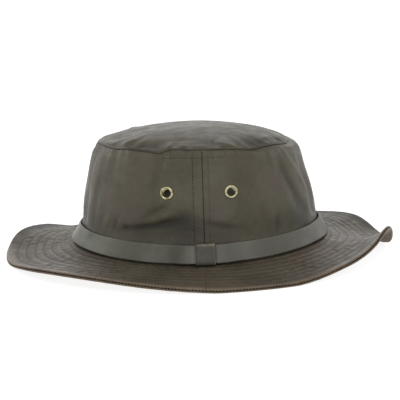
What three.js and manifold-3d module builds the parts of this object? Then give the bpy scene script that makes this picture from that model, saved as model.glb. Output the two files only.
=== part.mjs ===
// A wide-brimmed leather hat at rest on its brim.
// Millimetres, +Z up, +X to the front of the hat, origin on the table under the middle of the hat.
// Every piece is a leather wall between two skins, or a turned brass eyelet.

import * as THREE from 'three';
import { mergeVertices } from 'three/addons/utils/BufferGeometryUtils.js';
import Module from 'manifold-3d';

const wasm = await Module();
wasm.setup();

// Leather and gaps
const GAP = 0.3;
const WALL = 1.4;
const PLY = 1.25;
const BAND_THICKNESS = 1.5;
const KEEPER_THICKNESS = 1.0;

// Heights above the table, and how far the crown leans to its right side, in radians
const BASE_HEIGHT = 13.3;
const FOOT_HEIGHT = 10.4;
const LEAN = 0.0164;
const HALF_BRIM = PLY + GAP / 2;
const CROWN_FOOT = FOOT_HEIGHT + HALF_BRIM + GAP - BASE_HEIGHT;

// Crown wall, its outer face: height above the base plane, half length, half width, shift to the
// front, how far the ring rises at the ends and drops at the sides, and how far it falls in front
const CROWN_RINGS = [
  { height: -1.5, length: 102.4, width: 85.8, shift: -0.5, saddle: 2.6, fall: 0 },
  { height: 4, length: 99.8, width: 83.4, shift: -0.4, saddle: 2.5, fall: 0 },
  { height: 13, length: 96.8, width: 80.6, shift: -0.3, saddle: 2.1, fall: 0.1 },
  { height: 28, length: 94.6, width: 78.2, shift: -0.5, saddle: 1.6, fall: 0.3 },
  { height: 46, length: 91.3, width: 75.2, shift: -0.8, saddle: 1.1, fall: 0.7 },
  { height: 62, length: 87.1, width: 72.3, shift: -1.2, saddle: 0.7, fall: 0.9 },
  { height: 69, length: 85.2, width: 70.8, shift: -1.1, saddle: 0.3, fall: 1 },
  { height: 74, length: 83.5, width: 69.6, shift: -1.3, saddle: 0, fall: 0.9 },
  { height: 77.5, length: 81.2, width: 68.7, shift: -1.6, saddle: -0.5, fall: 0.8 },
  { height: 80.4, length: 77.6, width: 66.9, shift: -3.6, saddle: -0.95, fall: 0.75 },
];
const SEAM_HEIGHT = 80.4;
const SIDE_SEAM_X = 3.5;
const CROWN_STEPS = 34;
const CROWN_ROWS = 10;

// Soft folds in the crown wall: where round the hat in degrees, height above the base plane, half
// length and half breadth of the fold, how far it leans from level, and how deep it goes in
const CROWN_FOLDS = [
  { at: 243, height: 18, long: 26, broad: 5, lean: 3, depth: 1.5 },
  { at: 233, height: 20, long: 6, broad: 4, lean: 20, depth: 0.8 },
  { at: 285, height: 19, long: 16, broad: 5, lean: -4, depth: 0.9 },
  { at: 241, height: 40, long: 13, broad: 5, lean: 55, depth: 1.0 },
  { at: 196, height: 34, long: 26, broad: 7, lean: 80, depth: 1.3 },
  { at: 208, height: 52, long: 18, broad: 9, lean: 65, depth: -0.9 },
  { at: 344, height: 36, long: 26, broad: 7, lean: -78, depth: 1.3 },
  { at: 333, height: 26, long: 14, broad: 6, lean: -40, depth: 0.9 },
  { at: 300, height: 46, long: 26, broad: 12, lean: -60, depth: -0.7 },
  { at: 118, height: 20, long: 24, broad: 5, lean: -3, depth: 1.3 },
  { at: 70, height: 22, long: 18, broad: 6, lean: 6, depth: 1.0 },
  { at: 150, height: 38, long: 24, broad: 8, lean: 70, depth: 1.1 },
  { at: 28, height: 40, long: 24, broad: 8, lean: -70, depth: 1.1 },
];

// Domed tip, sewn to the top of the wall
const DOME_RISE = 12.8;
const DOME_FULLNESS = 0.8;
const DOME_EDGE = 0.5;
const DOME_SKIVE = 0.06;
const DOME_STEPS = 60;
const DOME_ROWS = 6;

// Shallow hollows in the dome: place, radius and depth
const DOME_HOLLOWS = [
  { x: -24, y: 6, radius: 20, depth: 1.1 },
  { x: 21, y: -34, radius: 15, depth: 1.2 },
];

// Brim: the oval it is sewn on, its width from there, and the strip that runs in under the crown
const BRIM_LENGTH = 104;
const BRIM_WIDTH = 86.3;
const BRIM_SADDLE = 2.6;
const BRIM_REACH = 59.5;
const BRIM_TUCK = 3;
const BRIM_STEPS = 80;
const BRIM_ROWS = 6;

// Brim sections round the hat: 0 is the front, 90 the left side, 180 the back, 270 the right side.
// Height of the edge above the table, how far the section sags under its chord, and how much the
// edge is drawn in
const BRIM_SECTIONS = [
  { at: 0, edge: 3, sag: 1.5, drawn: 6.4 },
  { at: 15, edge: 2.6, sag: 1, drawn: 6 },
  { at: 30, edge: 8.8, sag: 0, drawn: 3.4 },
  { at: 45, edge: 6.9, sag: 0, drawn: 1.6 },
  { at: 62, edge: 1.4, sag: 0, drawn: 0.7 },
  { at: 80, edge: 0.2, sag: 0, drawn: 0 },
  { at: 100, edge: 0.2, sag: 0, drawn: 0 },
  { at: 120, edge: 0.2, sag: 0.5, drawn: 0.4 },
  { at: 136, edge: 0.8, sag: 0.8, drawn: 1 },
  { at: 150, edge: 8.7, sag: 2, drawn: 1.3 },
  { at: 165, edge: 11, sag: 2.5, drawn: 2.2 },
  { at: 180, edge: 5.6, sag: 3, drawn: 2.8 },
  { at: 195, edge: 4, sag: 3, drawn: 2.5 },
  { at: 210, edge: 7.4, sag: 2.5, drawn: 1.8 },
  { at: 225, edge: 9.8, sag: 1.5, drawn: 1.1 },
  { at: 240, edge: 9.1, sag: 0.5, drawn: 0.6 },
  { at: 255, edge: 5.8, sag: 0, drawn: 0.3 },
  { at: 270, edge: 2.4, sag: 0, drawn: 0.2 },
  { at: 284, edge: 0.1, sag: 0, drawn: 0.5 },
  { at: 300, edge: 2, sag: 0.5, drawn: 1 },
  { at: 315, edge: 8.2, sag: 2, drawn: 1.7 },
  { at: 330, edge: 12, sag: 3.5, drawn: 3 },
  { at: 345, edge: 10.4, sag: 3.5, drawn: 4.6 },
];

// The pinch at the front: a fold that rises towards the edge, steeper on the left side
const PINCH = { at: 346, rise: 9, near: 19, far: 9, power: 1.3 };

// The edge curls up more beside the pinch, on the right side
const CURL = { at: 341, rise: 5, spread: 11, power: 9 };

// Hat band: a flared strip round the foot of the crown. Height above the base plane, half length,
// half width and the rest as for the wall, of its outer face
const BAND_RINGS = [
  { height: 0.6, length: 105.9, width: 88.7, shift: -0.5, saddle: 2.6, fall: 0 },
  { height: 7, length: 102.1, width: 85.4, shift: -0.3, saddle: 2.35, fall: 0 },
  { height: 13.4, length: 98.8, width: 82.6, shift: -0.2, saddle: 2.1, fall: 0.1 },
];
const BAND_STEPS = 72;
const BAND_ROWS = 2;

// Keeper loop, round the band over the right side seam, and the room that the band gives it
const KEEPER_ANGLE = 272.4;
const KEEPER_HALF_ANGLE = 4.1;
const KEEPER_GAP = 0.4;
const KEEPER_ROOM = 1.8;
const KEEPER_REST = 7;
const KEEPER_EASE = 9;
const KEEPER_STEPS = 5;

// Brass eyelets, two on each side of the crown, through real holes
const EYELET_HEIGHT = 51;
const EYELET_X = [-23.6, 26.1];
const EYELET_BARREL = 3.3;
const EYELET_BORE = 2.9;
const EYELET_FLANGE = 5.4;
const EYELET_INNER_FLANGE = 4.6;
const EYELET_SIDES = 12;
const EYELET_INSIDE_GAP = 0.45;

const LEATHER = new THREE.MeshStandardMaterial({ color: 0x544f45, roughness: 0.62, metalness: 0 });
const BRIM_LEATHER = new THREE.MeshStandardMaterial({ color: 0x665c52, roughness: 0.62, metalness: 0 });
const BAND_LEATHER = new THREE.MeshStandardMaterial({ color: 0x5a594f, roughness: 0.5, metalness: 0 });
const BRASS = new THREE.MeshStandardMaterial({ color: 0xc8c38c, roughness: 0.35, metalness: 1 });

const { degToRad: rad, radToDeg: deg } = THREE.MathUtils;

// A smooth curve through the rows of a table: the value of one column at a place. With a period
// the rows run round a closed loop
function along(rows, key, column, place, period = 0) {
  const at = (i) => {
    if (!period) return rows[THREE.MathUtils.clamp(i, 0, rows.length - 1)];
    const turns = Math.floor(i / rows.length);
    const row = rows[i - turns * rows.length];
    return { ...row, [key]: row[key] + turns * period };
  };
  const spot = period ? ((place % period) + period) % period : place;
  let i = 0;
  while (i < rows.length - (period ? 1 : 2) && at(i + 1)[key] <= spot) i += 1;
  const [before, left, right, after] = [at(i - 1), at(i), at(i + 1), at(i + 2)];
  const slope = (a, b) => (b[key] === a[key] ? 0 : (b[column] - a[column]) / (b[key] - a[key]));
  const span = right[key] - left[key];
  const middle = slope(left, right);
  const tangent = (a, b, c) => {
    if (a[key] === b[key] || b[key] === c[key]) return middle;
    const weight = (b[key] - a[key]) / (c[key] - a[key]);
    return slope(a, b) * (1 - weight) + slope(b, c) * weight;
  };
  const u = THREE.MathUtils.clamp((spot - left[key]) / span, 0, 1);
  const [u2, u3] = [u * u, u * u * u];
  return left[column] * (2 * u3 - 3 * u2 + 1)
    + tangent(before, left, right) * span * (u3 - 2 * u2 + u)
    + right[column] * (3 * u2 - 2 * u3)
    + tangent(left, right, after) * span * (u3 - u2);
}

// The nearest way round from one angle to another, in degrees
function turn(angle, from) {
  return ((angle - from + 540) % 360) - 180;
}

// A point of an oval ring given by a table, at an angle and a height above the base plane
function ringPoint(rings, angle, height) {
  const column = (name) => along(rings, 'height', name, height);
  const [c, s] = [Math.cos(rad(angle)), Math.sin(rad(angle))];
  const across = column('width') * s;
  const rise = height + column('saddle') * Math.cos(2 * rad(angle)) - column('fall') * c;
  return new THREE.Vector3(
    column('shift') + column('length') * c,
    across - rise * LEAN,
    BASE_HEIGHT + rise + across * LEAN,
  );
}

// Crown wall
const crownDepth = CROWN_RINGS.reduce((sum, ring) => sum + ring.length, 0) / CROWN_RINGS.length;

function crownFold(angle, height) {
  return CROWN_FOLDS.reduce((sum, fold) => {
    const across = rad(turn(angle, fold.at)) * crownDepth;
    const rise = height - fold.height;
    const [c, s] = [Math.cos(rad(fold.lean)), Math.sin(rad(fold.lean))];
    const lengthwise = (across * c + rise * s) / fold.long;
    const crosswise = (rise * c - across * s) / fold.broad;
    return sum + fold.depth * Math.exp(-(lengthwise ** 2) - crosswise ** 2);
  }, 0);
}

function crownFace(angle, height) {
  const point = ringPoint(CROWN_RINGS, angle, height);
  const out = new THREE.Vector3(Math.cos(rad(angle)), Math.sin(rad(angle)), 0);
  return point.addScaledVector(out, -crownFold(angle, height));
}

// Dome: radius runs from 0 in the middle to 1 at the seam
function domeFace(angle, radius) {
  const rim = ringPoint(CROWN_RINGS, angle, SEAM_HEIGHT);
  const middle = ringPoint(CROWN_RINGS, 0, SEAM_HEIGHT)
    .add(ringPoint(CROWN_RINGS, 180, SEAM_HEIGHT))
    .multiplyScalar(0.5);
  const point = middle.lerp(rim, radius);
  const rise = DOME_RISE * Math.max(1 - radius ** 2, 0) ** DOME_FULLNESS;
  const hollow = DOME_HOLLOWS.reduce((sum, row) => {
    const away = Math.hypot(point.x - row.x, point.y - row.y) / row.radius;
    return sum + row.depth * Math.exp(-(away ** 2));
  }, 0);
  point.z += GAP + DOME_EDGE + rise - hollow * (1 - radius ** 4);
  return point;
}

// The leather of the dome is pared thin at the seam
function domeThickness(radius) {
  return THREE.MathUtils.lerp(DOME_EDGE, WALL, Math.min((1 - radius) / DOME_SKIVE, 1));
}

// Brim, the middle between its two plies. The reach is the distance from the oval it is sewn on
function brimFace(angle, reach) {
  const [c, s] = [Math.cos(rad(angle)), Math.sin(rad(angle))];
  const out = new THREE.Vector3(c / BRIM_LENGTH, s / BRIM_WIDTH, 0).normalize();
  const column = (name) => along(BRIM_SECTIONS, 'at', name, angle, 360);
  const u = Math.max(reach, 0) / BRIM_REACH;
  const foot = FOOT_HEIGHT + BRIM_SADDLE * Math.cos(2 * rad(angle)) + BRIM_WIDTH * s * LEAN;
  const away = turn(angle, PINCH.at);
  const width = away < 0 ? PINCH.near : PINCH.far;
  const pinch = PINCH.rise * Math.exp(-((away / width) ** 2)) * u ** PINCH.power;
  const curl = CURL.rise * Math.exp(-((turn(angle, CURL.at) / CURL.spread) ** 2)) * u ** CURL.power;
  const section = foot + (column('edge') - foot) * u - 4 * column('sag') * u * (1 - u);
  const height = section + pinch + curl;
  const lift = height - foot;
  const drawn = column('drawn') * u + (lift ** 2 / (2 * BRIM_REACH)) * u;
  return new THREE.Vector3(BRIM_LENGTH * c, BRIM_WIDTH * s, Math.max(height, HALF_BRIM))
    .addScaledVector(out, reach - drawn);
}

// Band, its outer face, which stands off a little where the keeper passes behind it
function bandFace(angle, height) {
  const away = Math.abs(turn(angle, KEEPER_ANGLE)) - KEEPER_REST;
  const ease = THREE.MathUtils.smoothstep(1 - away / KEEPER_EASE, 0, 1);
  const out = new THREE.Vector3(Math.cos(rad(angle)), Math.sin(rad(angle)), 0);
  return ringPoint(BAND_RINGS, angle, height).addScaledVector(out, KEEPER_ROOM * ease);
}

// The unit normal of a face, found from points a little to each side
function normalOf(face, angle, place) {
  const [turnStep, placeStep] = [0.2, 0.05];
  const round = face(angle + turnStep, place).sub(face(angle - turnStep, place));
  const up = face(angle, place + placeStep).sub(face(angle, place - placeStep));
  return round.cross(up).normalize();
}

function offset(face, angle, place, distance) {
  return face(angle, place).addScaledVector(normalOf(face, angle, place), distance);
}

// The same, kept level, so that a standing wall has level edges at its foot and top
function levelOffset(face, angle, place, distance) {
  const out = normalOf(face, angle, place).setZ(0).normalize();
  return face(angle, place).addScaledVector(out, distance);
}

// A closed body from two grids of points that face each other, with rims along the open sides
function bodyBetween(outer, inner, { loopRows = false, loopColumns = false } = {}) {
  const [rows, columns] = [outer.length, outer[0].length];
  const positions = [...outer.flat(), ...inner.flat()].flatMap((point) => point.toArray());
  const index = (side, i, j) => side * rows * columns + (i % rows) * columns + (j % columns);
  const faces = [];
  const quad = (a, b, c, d) => faces.push([a, b, c], [a, c, d]);
  for (let i = 0; i < rows - (loopRows ? 0 : 1); i += 1) {
    for (let j = 0; j < columns - (loopColumns ? 0 : 1); j += 1) {
      quad(index(0, i, j), index(0, i + 1, j), index(0, i + 1, j + 1), index(0, i, j + 1));
      quad(index(1, i, j), index(1, i, j + 1), index(1, i + 1, j + 1), index(1, i + 1, j));
    }
    if (!loopColumns) {
      quad(index(0, i, 0), index(1, i, 0), index(1, i + 1, 0), index(0, i + 1, 0));
      const j = columns - 1;
      quad(index(0, i, j), index(0, i + 1, j), index(1, i + 1, j), index(1, i, j));
    }
  }
  if (!loopRows) {
    for (let j = 0; j < columns - (loopColumns ? 0 : 1); j += 1) {
      quad(index(0, 0, j), index(0, 0, j + 1), index(1, 0, j + 1), index(1, 0, j));
      const i = rows - 1;
      quad(index(0, i, j), index(1, i, j), index(1, i, j + 1), index(0, i, j + 1));
    }
  }
  return weld(positions, faces);
}

// Joins equal corners, drops the empty triangles at a pole, and turns the faces out
function weld(positions, faces) {
  const loose = new THREE.BufferGeometry();
  loose.setAttribute('position', new THREE.Float32BufferAttribute(positions, 3));
  loose.setIndex(faces.flat());
  const joined = mergeVertices(loose, 1e-4);
  const found = joined.index.array;
  const corner = (i) => new THREE.Vector3().fromBufferAttribute(joined.attributes.position, i);
  const kept = [];
  let volume = 0;
  for (let i = 0; i < found.length; i += 3) {
    const [a, b, c] = [found[i], found[i + 1], found[i + 2]];
    if (a !== b && b !== c && c !== a) {
      kept.push([a, b, c]);
      volume += corner(a).dot(corner(b).cross(corner(c)));
    }
  }
  joined.setIndex(kept.flatMap(([a, b, c]) => (volume < 0 ? [a, c, b] : [a, b, c])));
  return joined;
}

// A grid of points: one row for each step round, one column for each place on the section
function gridOf(steps, columns, pointAt) {
  const line = (i) => Array.from({ length: columns + 1 }, (_, j) => pointAt(i / steps, j / columns));
  return Array.from({ length: steps }, (_, i) => line(i));
}

// A wall all the way round, between two distances from its face
function ringWall(face, steps, columns, placeAt, near, far) {
  const grid = (distance) => gridOf(steps, columns, (around, up) => (
    offset(face, around * 360, placeAt(up), distance)
  ));
  return bodyBetween(grid(near), grid(far), { loopRows: true });
}

// The dome is sewn on flat, so its under face lies straight below its upper one
function domeBody() {
  const grid = (side) => gridOf(DOME_STEPS, DOME_ROWS, (around, out) => {
    const radius = 1 - (1 - out) ** 1.2;
    const point = domeFace(around * 360, radius);
    point.z -= side * domeThickness(radius);
    return point;
  });
  return bodyBetween(grid(0), grid(1), { loopRows: true });
}

// A wall half the way round, from side seam to side seam. The seams stand at one x, so the angle
// where the half starts changes with the place on the section
function halfWall(face, steps, columns, placeAt, near, far, front, offsetBy = offset) {
  const seamX = SIDE_SEAM_X + (front ? GAP / 2 : -GAP / 2);
  const seamAngle = (place) => {
    let angle = 90;
    for (let i = 0; i < 12; i += 1) {
      const short = face(angle, place).x - seamX;
      angle += deg(short / face(0, place).x);
    }
    return angle;
  };
  const grid = (distance) => {
    const line = (i) => Array.from({ length: columns + 1 }, (_, j) => {
      const place = placeAt(j / columns);
      const edge = seamAngle(place);
      const [from, to] = front ? [-edge, edge] : [edge, 360 - edge];
      return offsetBy(face, from + ((to - from) * i) / steps, place, distance);
    });
    return Array.from({ length: steps + 1 }, (_, i) => line(i));
  };
  return bodyBetween(grid(near), grid(far));
}

const crownPlace = (up) => CROWN_FOOT + (SEAM_HEIGHT - CROWN_FOOT) * (1 - (1 - up) ** 1.25);
const brimPlace = (out) => -BRIM_TUCK + (BRIM_REACH + BRIM_TUCK) * (1 - (1 - out) ** 1.3);
const bandPlace = (up) => BAND_RINGS[0].height + (BAND_RINGS[2].height - BAND_RINGS[0].height) * up;

// A solid for cutting, from a closed geometry
function solidOf(geometry) {
  const bare = geometry.clone();
  bare.deleteAttribute('normal');
  bare.deleteAttribute('uv');
  const joined = mergeVertices(bare, 1e-4);
  return new wasm.Manifold(new wasm.Mesh({
    numProp: 3,
    vertProperties: Float32Array.from(joined.attributes.position.array),
    triVerts: Uint32Array.from(joined.index.array),
  }));
}

function geometryOf(solid) {
  const { vertProperties, triVerts } = solid.getMesh();
  const geometry = new THREE.BufferGeometry();
  geometry.setAttribute('position', new THREE.BufferAttribute(vertProperties, 3));
  geometry.setIndex(new THREE.BufferAttribute(triVerts, 1));
  return geometry;
}

// Eyelets: where each one sits on the wall, and which way it faces
function eyeletSeats() {
  const length = along(CROWN_RINGS, 'height', 'length', EYELET_HEIGHT);
  return [1, -1].flatMap((side) => EYELET_X.map((x) => {
    const angle = side * deg(Math.acos(x / length));
    const point = crownFace(angle, EYELET_HEIGHT);
    const facing = normalOf(crownFace, angle, EYELET_HEIGHT);
    const name = `eyelet_${side > 0 ? 'left' : 'right'}_${x > 0 ? 'front' : 'back'}`;
    const turned = new THREE.Quaternion().setFromUnitVectors(new THREE.Vector3(0, 1, 0), facing);
    return { name, front: x > SIDE_SEAM_X, point, turned };
  }));
}

// The turned section of an eyelet: a rolled flange outside, the barrel, and a small flange inside
function eyeletGeometry() {
  const inside = -WALL - EYELET_INSIDE_GAP;
  const section = [
    [EYELET_BORE, inside - 0.7],
    [EYELET_INNER_FLANGE, inside - 0.6],
    [EYELET_INNER_FLANGE, inside],
    [EYELET_BARREL, inside],
    [EYELET_BARREL, GAP],
    [EYELET_FLANGE - 0.1, GAP],
    [EYELET_FLANGE, GAP + 0.45],
    [EYELET_FLANGE - 0.5, GAP + 1.0],
    [EYELET_FLANGE - 1.3, GAP + 1.2],
    [EYELET_BORE + 0.4, GAP + 0.9],
    [EYELET_BORE, GAP + 0.4],
    [EYELET_BORE, inside - 0.7],
  ].map(([radius, height]) => new THREE.Vector2(radius, height));
  return new THREE.LatheGeometry(section, EYELET_SIDES);
}

function drilled(geometry, seats) {
  const holes = seats.map((seat) => {
    const drill = new THREE.CylinderGeometry(EYELET_BARREL + GAP, EYELET_BARREL + GAP, 12, EYELET_SIDES);
    drill.applyQuaternion(seat.turned);
    drill.translate(...seat.point.toArray());
    return solidOf(drill);
  });
  return geometryOf(holes.reduce((wall, hole) => wall.subtract(hole), solidOf(geometry)));
}

// Keeper: a flat sleeve round the band. Its section is a long loop in the band's own slope
function keeperGeometry() {
  const [low, high] = [BAND_RINGS[0].height, BAND_RINGS[2].height];
  const middle = (low + high) / 2;
  const loopAt = (angle, grow) => {
    const [bottom, top] = [bandFace(angle, low), bandFace(angle, high)];
    const face = bottom.clone().lerp(top, 0.5);
    const out = normalOf(bandFace, angle, middle);
    const up = top.sub(bottom);
    const half = up.length() / 2;
    up.normalize();
    const [inner, outer] = [-BAND_THICKNESS - grow, grow];
    const tall = half + grow;
    const round = Math.min(grow, 1);
    const corners = [
      [outer, 0], [outer, tall - round], [outer - round * 0.5, tall - round * 0.12],
      [(inner + outer) / 2, tall], [inner + round * 0.5, tall - round * 0.12],
      [inner, tall - round], [inner, 0], [inner, round - tall],
      [inner + round * 0.5, round * 0.12 - tall], [(inner + outer) / 2, -tall],
      [outer - round * 0.5, round * 0.12 - tall], [outer, round - tall],
    ];
    return corners.map(([away, rise]) => (
      face.clone().addScaledVector(out, away).addScaledVector(up, rise)
    ));
  };
  const stations = Array.from({ length: KEEPER_STEPS + 1 }, (_, i) => (
    KEEPER_ANGLE + KEEPER_HALF_ANGLE * ((2 * i) / KEEPER_STEPS - 1)
  ));
  const sleeve = (grow) => stations.map((angle) => loopAt(angle, grow));
  return bodyBetween(sleeve(KEEPER_GAP + KEEPER_THICKNESS), sleeve(KEEPER_GAP), { loopColumns: true });
}

// Assembly
const hat = new THREE.Group();

function piece(name, geometry, material) {
  const mesh = new THREE.Mesh(geometry, material);
  mesh.name = name;
  hat.add(mesh);
  return mesh;
}

// Distances from the middle of the brim run down
const upperPly = [-HALF_BRIM, -GAP / 2];
const underPly = [HALF_BRIM, GAP / 2];
const seats = eyeletSeats();
piece('crown_tip', domeBody(), LEATHER);

for (const [name, front] of [['front', true], ['back', false]]) {
  const wall = halfWall(
    crownFace, CROWN_STEPS, CROWN_ROWS, crownPlace, 0, -WALL, front, levelOffset,
  );
  piece(`crown_${name}`, drilled(wall, seats.filter((seat) => seat.front === front)), LEATHER);
  const ply = halfWall(brimFace, BRIM_STEPS / 2, BRIM_ROWS, brimPlace, ...upperPly, front);
  piece(`brim_upper_${name}`, ply, BRIM_LEATHER);
}

piece('brim_under', ringWall(brimFace, BRIM_STEPS, BRIM_ROWS, brimPlace, ...underPly), BRIM_LEATHER);
piece('hat_band', ringWall(bandFace, BAND_STEPS, BAND_ROWS, bandPlace, 0, -BAND_THICKNESS), BAND_LEATHER);
piece('band_keeper', keeperGeometry(), BAND_LEATHER);

for (const seat of seats) {
  const eyelet = piece(seat.name, eyeletGeometry(), BRASS);
  eyelet.position.copy(seat.point);
  eyelet.quaternion.copy(seat.turned);
}

// The origin stands under the middle of the hat
const middle = new THREE.Box3().setFromObject(hat).getCenter(new THREE.Vector3());
hat.position.set(-middle.x, -middle.y, 0);

export default hat;
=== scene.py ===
"""A wide-brimmed leather hat, at rest on its brim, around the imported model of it.

Lengths in the tables and in the shape functions are millimetres in the hat's own frame: +X to the
front, +Z up. They become metres in the row frame only where a mesh is made. An angle is measured
round the hat in degrees from the front, towards the wearer's left; a height on the crown is above
its base plane; a reach is the distance out from the oval that the brim is sewn on.
"""

import logging
import math
from dataclasses import dataclass, field
from enum import Enum
from typing import Callable, Sequence

import bmesh
import bpy
import numpy as np
from mathutils import Matrix, Vector

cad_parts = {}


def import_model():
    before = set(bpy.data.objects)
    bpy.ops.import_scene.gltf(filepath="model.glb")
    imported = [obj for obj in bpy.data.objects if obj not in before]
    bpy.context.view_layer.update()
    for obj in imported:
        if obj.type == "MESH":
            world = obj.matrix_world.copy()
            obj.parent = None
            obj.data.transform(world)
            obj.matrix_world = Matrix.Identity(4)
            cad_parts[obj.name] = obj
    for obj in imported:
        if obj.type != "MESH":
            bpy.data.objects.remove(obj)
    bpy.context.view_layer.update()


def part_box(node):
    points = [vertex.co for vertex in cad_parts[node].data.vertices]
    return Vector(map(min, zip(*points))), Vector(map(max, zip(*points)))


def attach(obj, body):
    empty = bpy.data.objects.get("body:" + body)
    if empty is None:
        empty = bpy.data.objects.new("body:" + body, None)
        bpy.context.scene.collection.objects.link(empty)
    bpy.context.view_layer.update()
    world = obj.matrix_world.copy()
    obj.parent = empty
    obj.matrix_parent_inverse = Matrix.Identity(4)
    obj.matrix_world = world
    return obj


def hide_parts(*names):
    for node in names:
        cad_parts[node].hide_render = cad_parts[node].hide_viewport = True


LOG = logging.getLogger("hat")
MM = 0.001
TINY = 1e-9
BODY = "root"

Array = np.ndarray
Face = Callable[[Array, Array], Array]
Tint = tuple[float, float, float]

# Leather and gaps
WALL = 1.4
PLY = 1.25
BAND_THICKNESS = 1.5
KEEPER_THICKNESS = 1.0
GAP = 0.3
HALF_BRIM = PLY + GAP / 2

# Heights above the table, and how far the crown leans to its right side, in radians
BASE_HEIGHT = 13.3
FOOT_HEIGHT = 10.4
LEAN = 0.0164
CROWN_FOOT = FOOT_HEIGHT + HALF_BRIM + GAP - BASE_HEIGHT

# Seams of the crown: height of the tip's seam, where the side seams run, how far the halves lap
# there, and the steps in which a seam is found. The back skins get painted shade, for the hat's inside
SEAM_HEIGHT = 80.4
SIDE_SEAM_X = 3.5
SEAM_LAP = 0.1
INSIDE_SHADE = -0.9
SEAM_STEPS = 12

# How far to either side of a point its face is measured to find the normal: degrees, and mm; and
# the angles of a row of stitches that runs right round
ANGLE_STEP = 0.2
PLACE_STEP = 0.05
ROUND = np.linspace(0, 360, 721)


class Table:
    """Rows of named values, joined by a smooth curve through each column."""

    def __init__(self, columns: str, rows: Sequence[Sequence[float]], period: float = 0.0) -> None:
        """Keeps the rows.

        Args:
            columns: names of the columns, the place first.
            rows: one sequence of numbers a row, in order of place.
            period: length of one round where the rows close on themselves.
        """
        values = np.array(rows, dtype=float)
        if period:
            before, after = values[-3:].copy(), values[:3].copy()
            before[:, 0] -= period
            after[:, 0] += period
            values = np.concatenate((before, values, after))
        self.names = columns.split()
        self.values = values
        self.period = period

    def at(self, name: str, place: Array) -> Array:
        """Value of a column at each place.

        Args:
            name: the column.
            place: places along the table.

        Returns:
            The values, in the shape of place.
        """
        keys = self.values[:, 0]
        column = self.values[:, self.names.index(name)]
        spot = np.mod(place, self.period) if self.period else np.asarray(place, dtype=float)
        slopes = np.diff(column) / np.diff(keys)
        weight = (keys[1:-1] - keys[:-2]) / (keys[2:] - keys[:-2])
        inner = slopes[:-1] * (1 - weight) + slopes[1:] * weight
        tangents = np.concatenate((slopes[:1], inner, slopes[-1:]))
        i = np.clip(np.searchsorted(keys, spot, side="right") - 1, 0, len(keys) - 2)
        span = keys[i + 1] - keys[i]
        u = np.clip((spot - keys[i]) / span, 0, 1)
        return (
            column[i] * (2 * u**3 - 3 * u**2 + 1)
            + tangents[i] * span * (u**3 - 2 * u**2 + u)
            + column[i + 1] * (3 * u**2 - 2 * u**3)
            + tangents[i + 1] * span * (u**3 - u**2)
        )



# Outer face of the crown wall, and of the band round its foot. Height above the base plane, half
# length, half width, shift to the front, rise at the ends and drop at the sides, fall in front
RING_COLUMNS = "height length width shift saddle fall"
CROWN_RINGS = Table(RING_COLUMNS, (
    (-1.5, 102.4, 85.8, -0.5, 2.6, 0),
    (4, 99.8, 83.4, -0.4, 2.5, 0),
    (13, 96.8, 80.6, -0.3, 2.1, 0.1),
    (28, 94.6, 78.2, -0.5, 1.6, 0.3),
    (46, 91.3, 75.2, -0.8, 1.1, 0.7),
    (62, 87.1, 72.3, -1.2, 0.7, 0.9),
    (69, 85.2, 70.8, -1.1, 0.3, 1),
    (74, 83.5, 69.6, -1.3, 0, 0.9),
    (77.5, 81.2, 68.7, -1.6, -0.5, 0.8),
    (80.4, 77.6, 66.9, -3.6, -0.95, 0.75),
))
BAND_RINGS = Table(RING_COLUMNS, (
    (0.6, 105.9, 88.7, -0.5, 2.6, 0),
    (7, 102.1, 85.4, -0.3, 2.35, 0),
    (13.4, 98.8, 82.6, -0.2, 2.1, 0.1),
))
BAND_FOOT = 0.6
BAND_TOP = 13.4

# Distance round the wall for one radian, close to the middle of the crown's height, and the rows
# of the wall's grid that the band hides
CROWN_DEPTH = 91.98
WALL_FOOT_ROWS = [CROWN_FOOT - 0.75, 1, 4, 7, 10, 12]

# Soft folds in the crown wall: where round the hat, height above the base plane, half length and
# half breadth of the fold, how far it leans from level, and how deep it goes in
CROWN_FOLDS = (
    (243, 18, 26, 5, 3, 1.5), (233, 20, 6, 4, 20, 0.8), (285, 19, 16, 5, -4, 0.9),
    (241, 40, 13, 5, 55, 1.0), (196, 34, 26, 7, 80, 1.3), (208, 52, 18, 9, 65, -0.9),
    (344, 36, 26, 7, -78, 1.3), (333, 26, 14, 6, -40, 0.9), (300, 46, 26, 12, -60, -0.7),
    (118, 20, 24, 5, -3, 1.3), (70, 22, 18, 6, 6, 1.0), (150, 38, 24, 8, 70, 1.1),
    (28, 40, 24, 8, -70, 1.1),
)

# Finer creases of the right side's wall, over the folds: where round the hat, height, half length,
# half breadth, lean, and how far they stand proud. The left side has them about half a turn on
WALL_CREASES = (
    (246, 25.4, 19, 2.8, 10, -1.5), (255, 28.5, 9, 4, 15, -0.9),
    (250.5, 38.5, 13, 2.3, 26, -1.3), (254, 34.3, 11, 2.7, 23, 1.1), (263, 35, 7, 6, 0, -0.8),
    (261, 28, 12, 5, 0, -0.7), (276, 37, 5, 7, 0, -0.6), (279.5, 26.6, 14, 2.6, -12, -1.1),
    (288, 34, 12, 6, 15, 0.6), (310, 22, 8, 3, 80, -0.7), (336, 53, 25, 3.5, -56, 1.0),
    (324.5, 49, 23, 6.5, -69, -1.8), (199, 50, 24, 4, 88, 0.8), (209, 45, 22, 5, 85, -0.8),
    (252.5, 69, 9, 1.9, 75, 0.7), (248, 65, 8, 2.6, 75, -0.5), (259, 65, 10, 5, 70, -0.4),
    (287.8, 60, 6, 2, -50, -0.5), (226.8, 25.6, 7, 2.5, 65, -0.6), (219.5, 24, 8, 3, 65, 0.5),
    (232.5, 22, 2.2, 1.6, 0, -0.7),
)
LEFT_SIDE = -181.6
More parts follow.
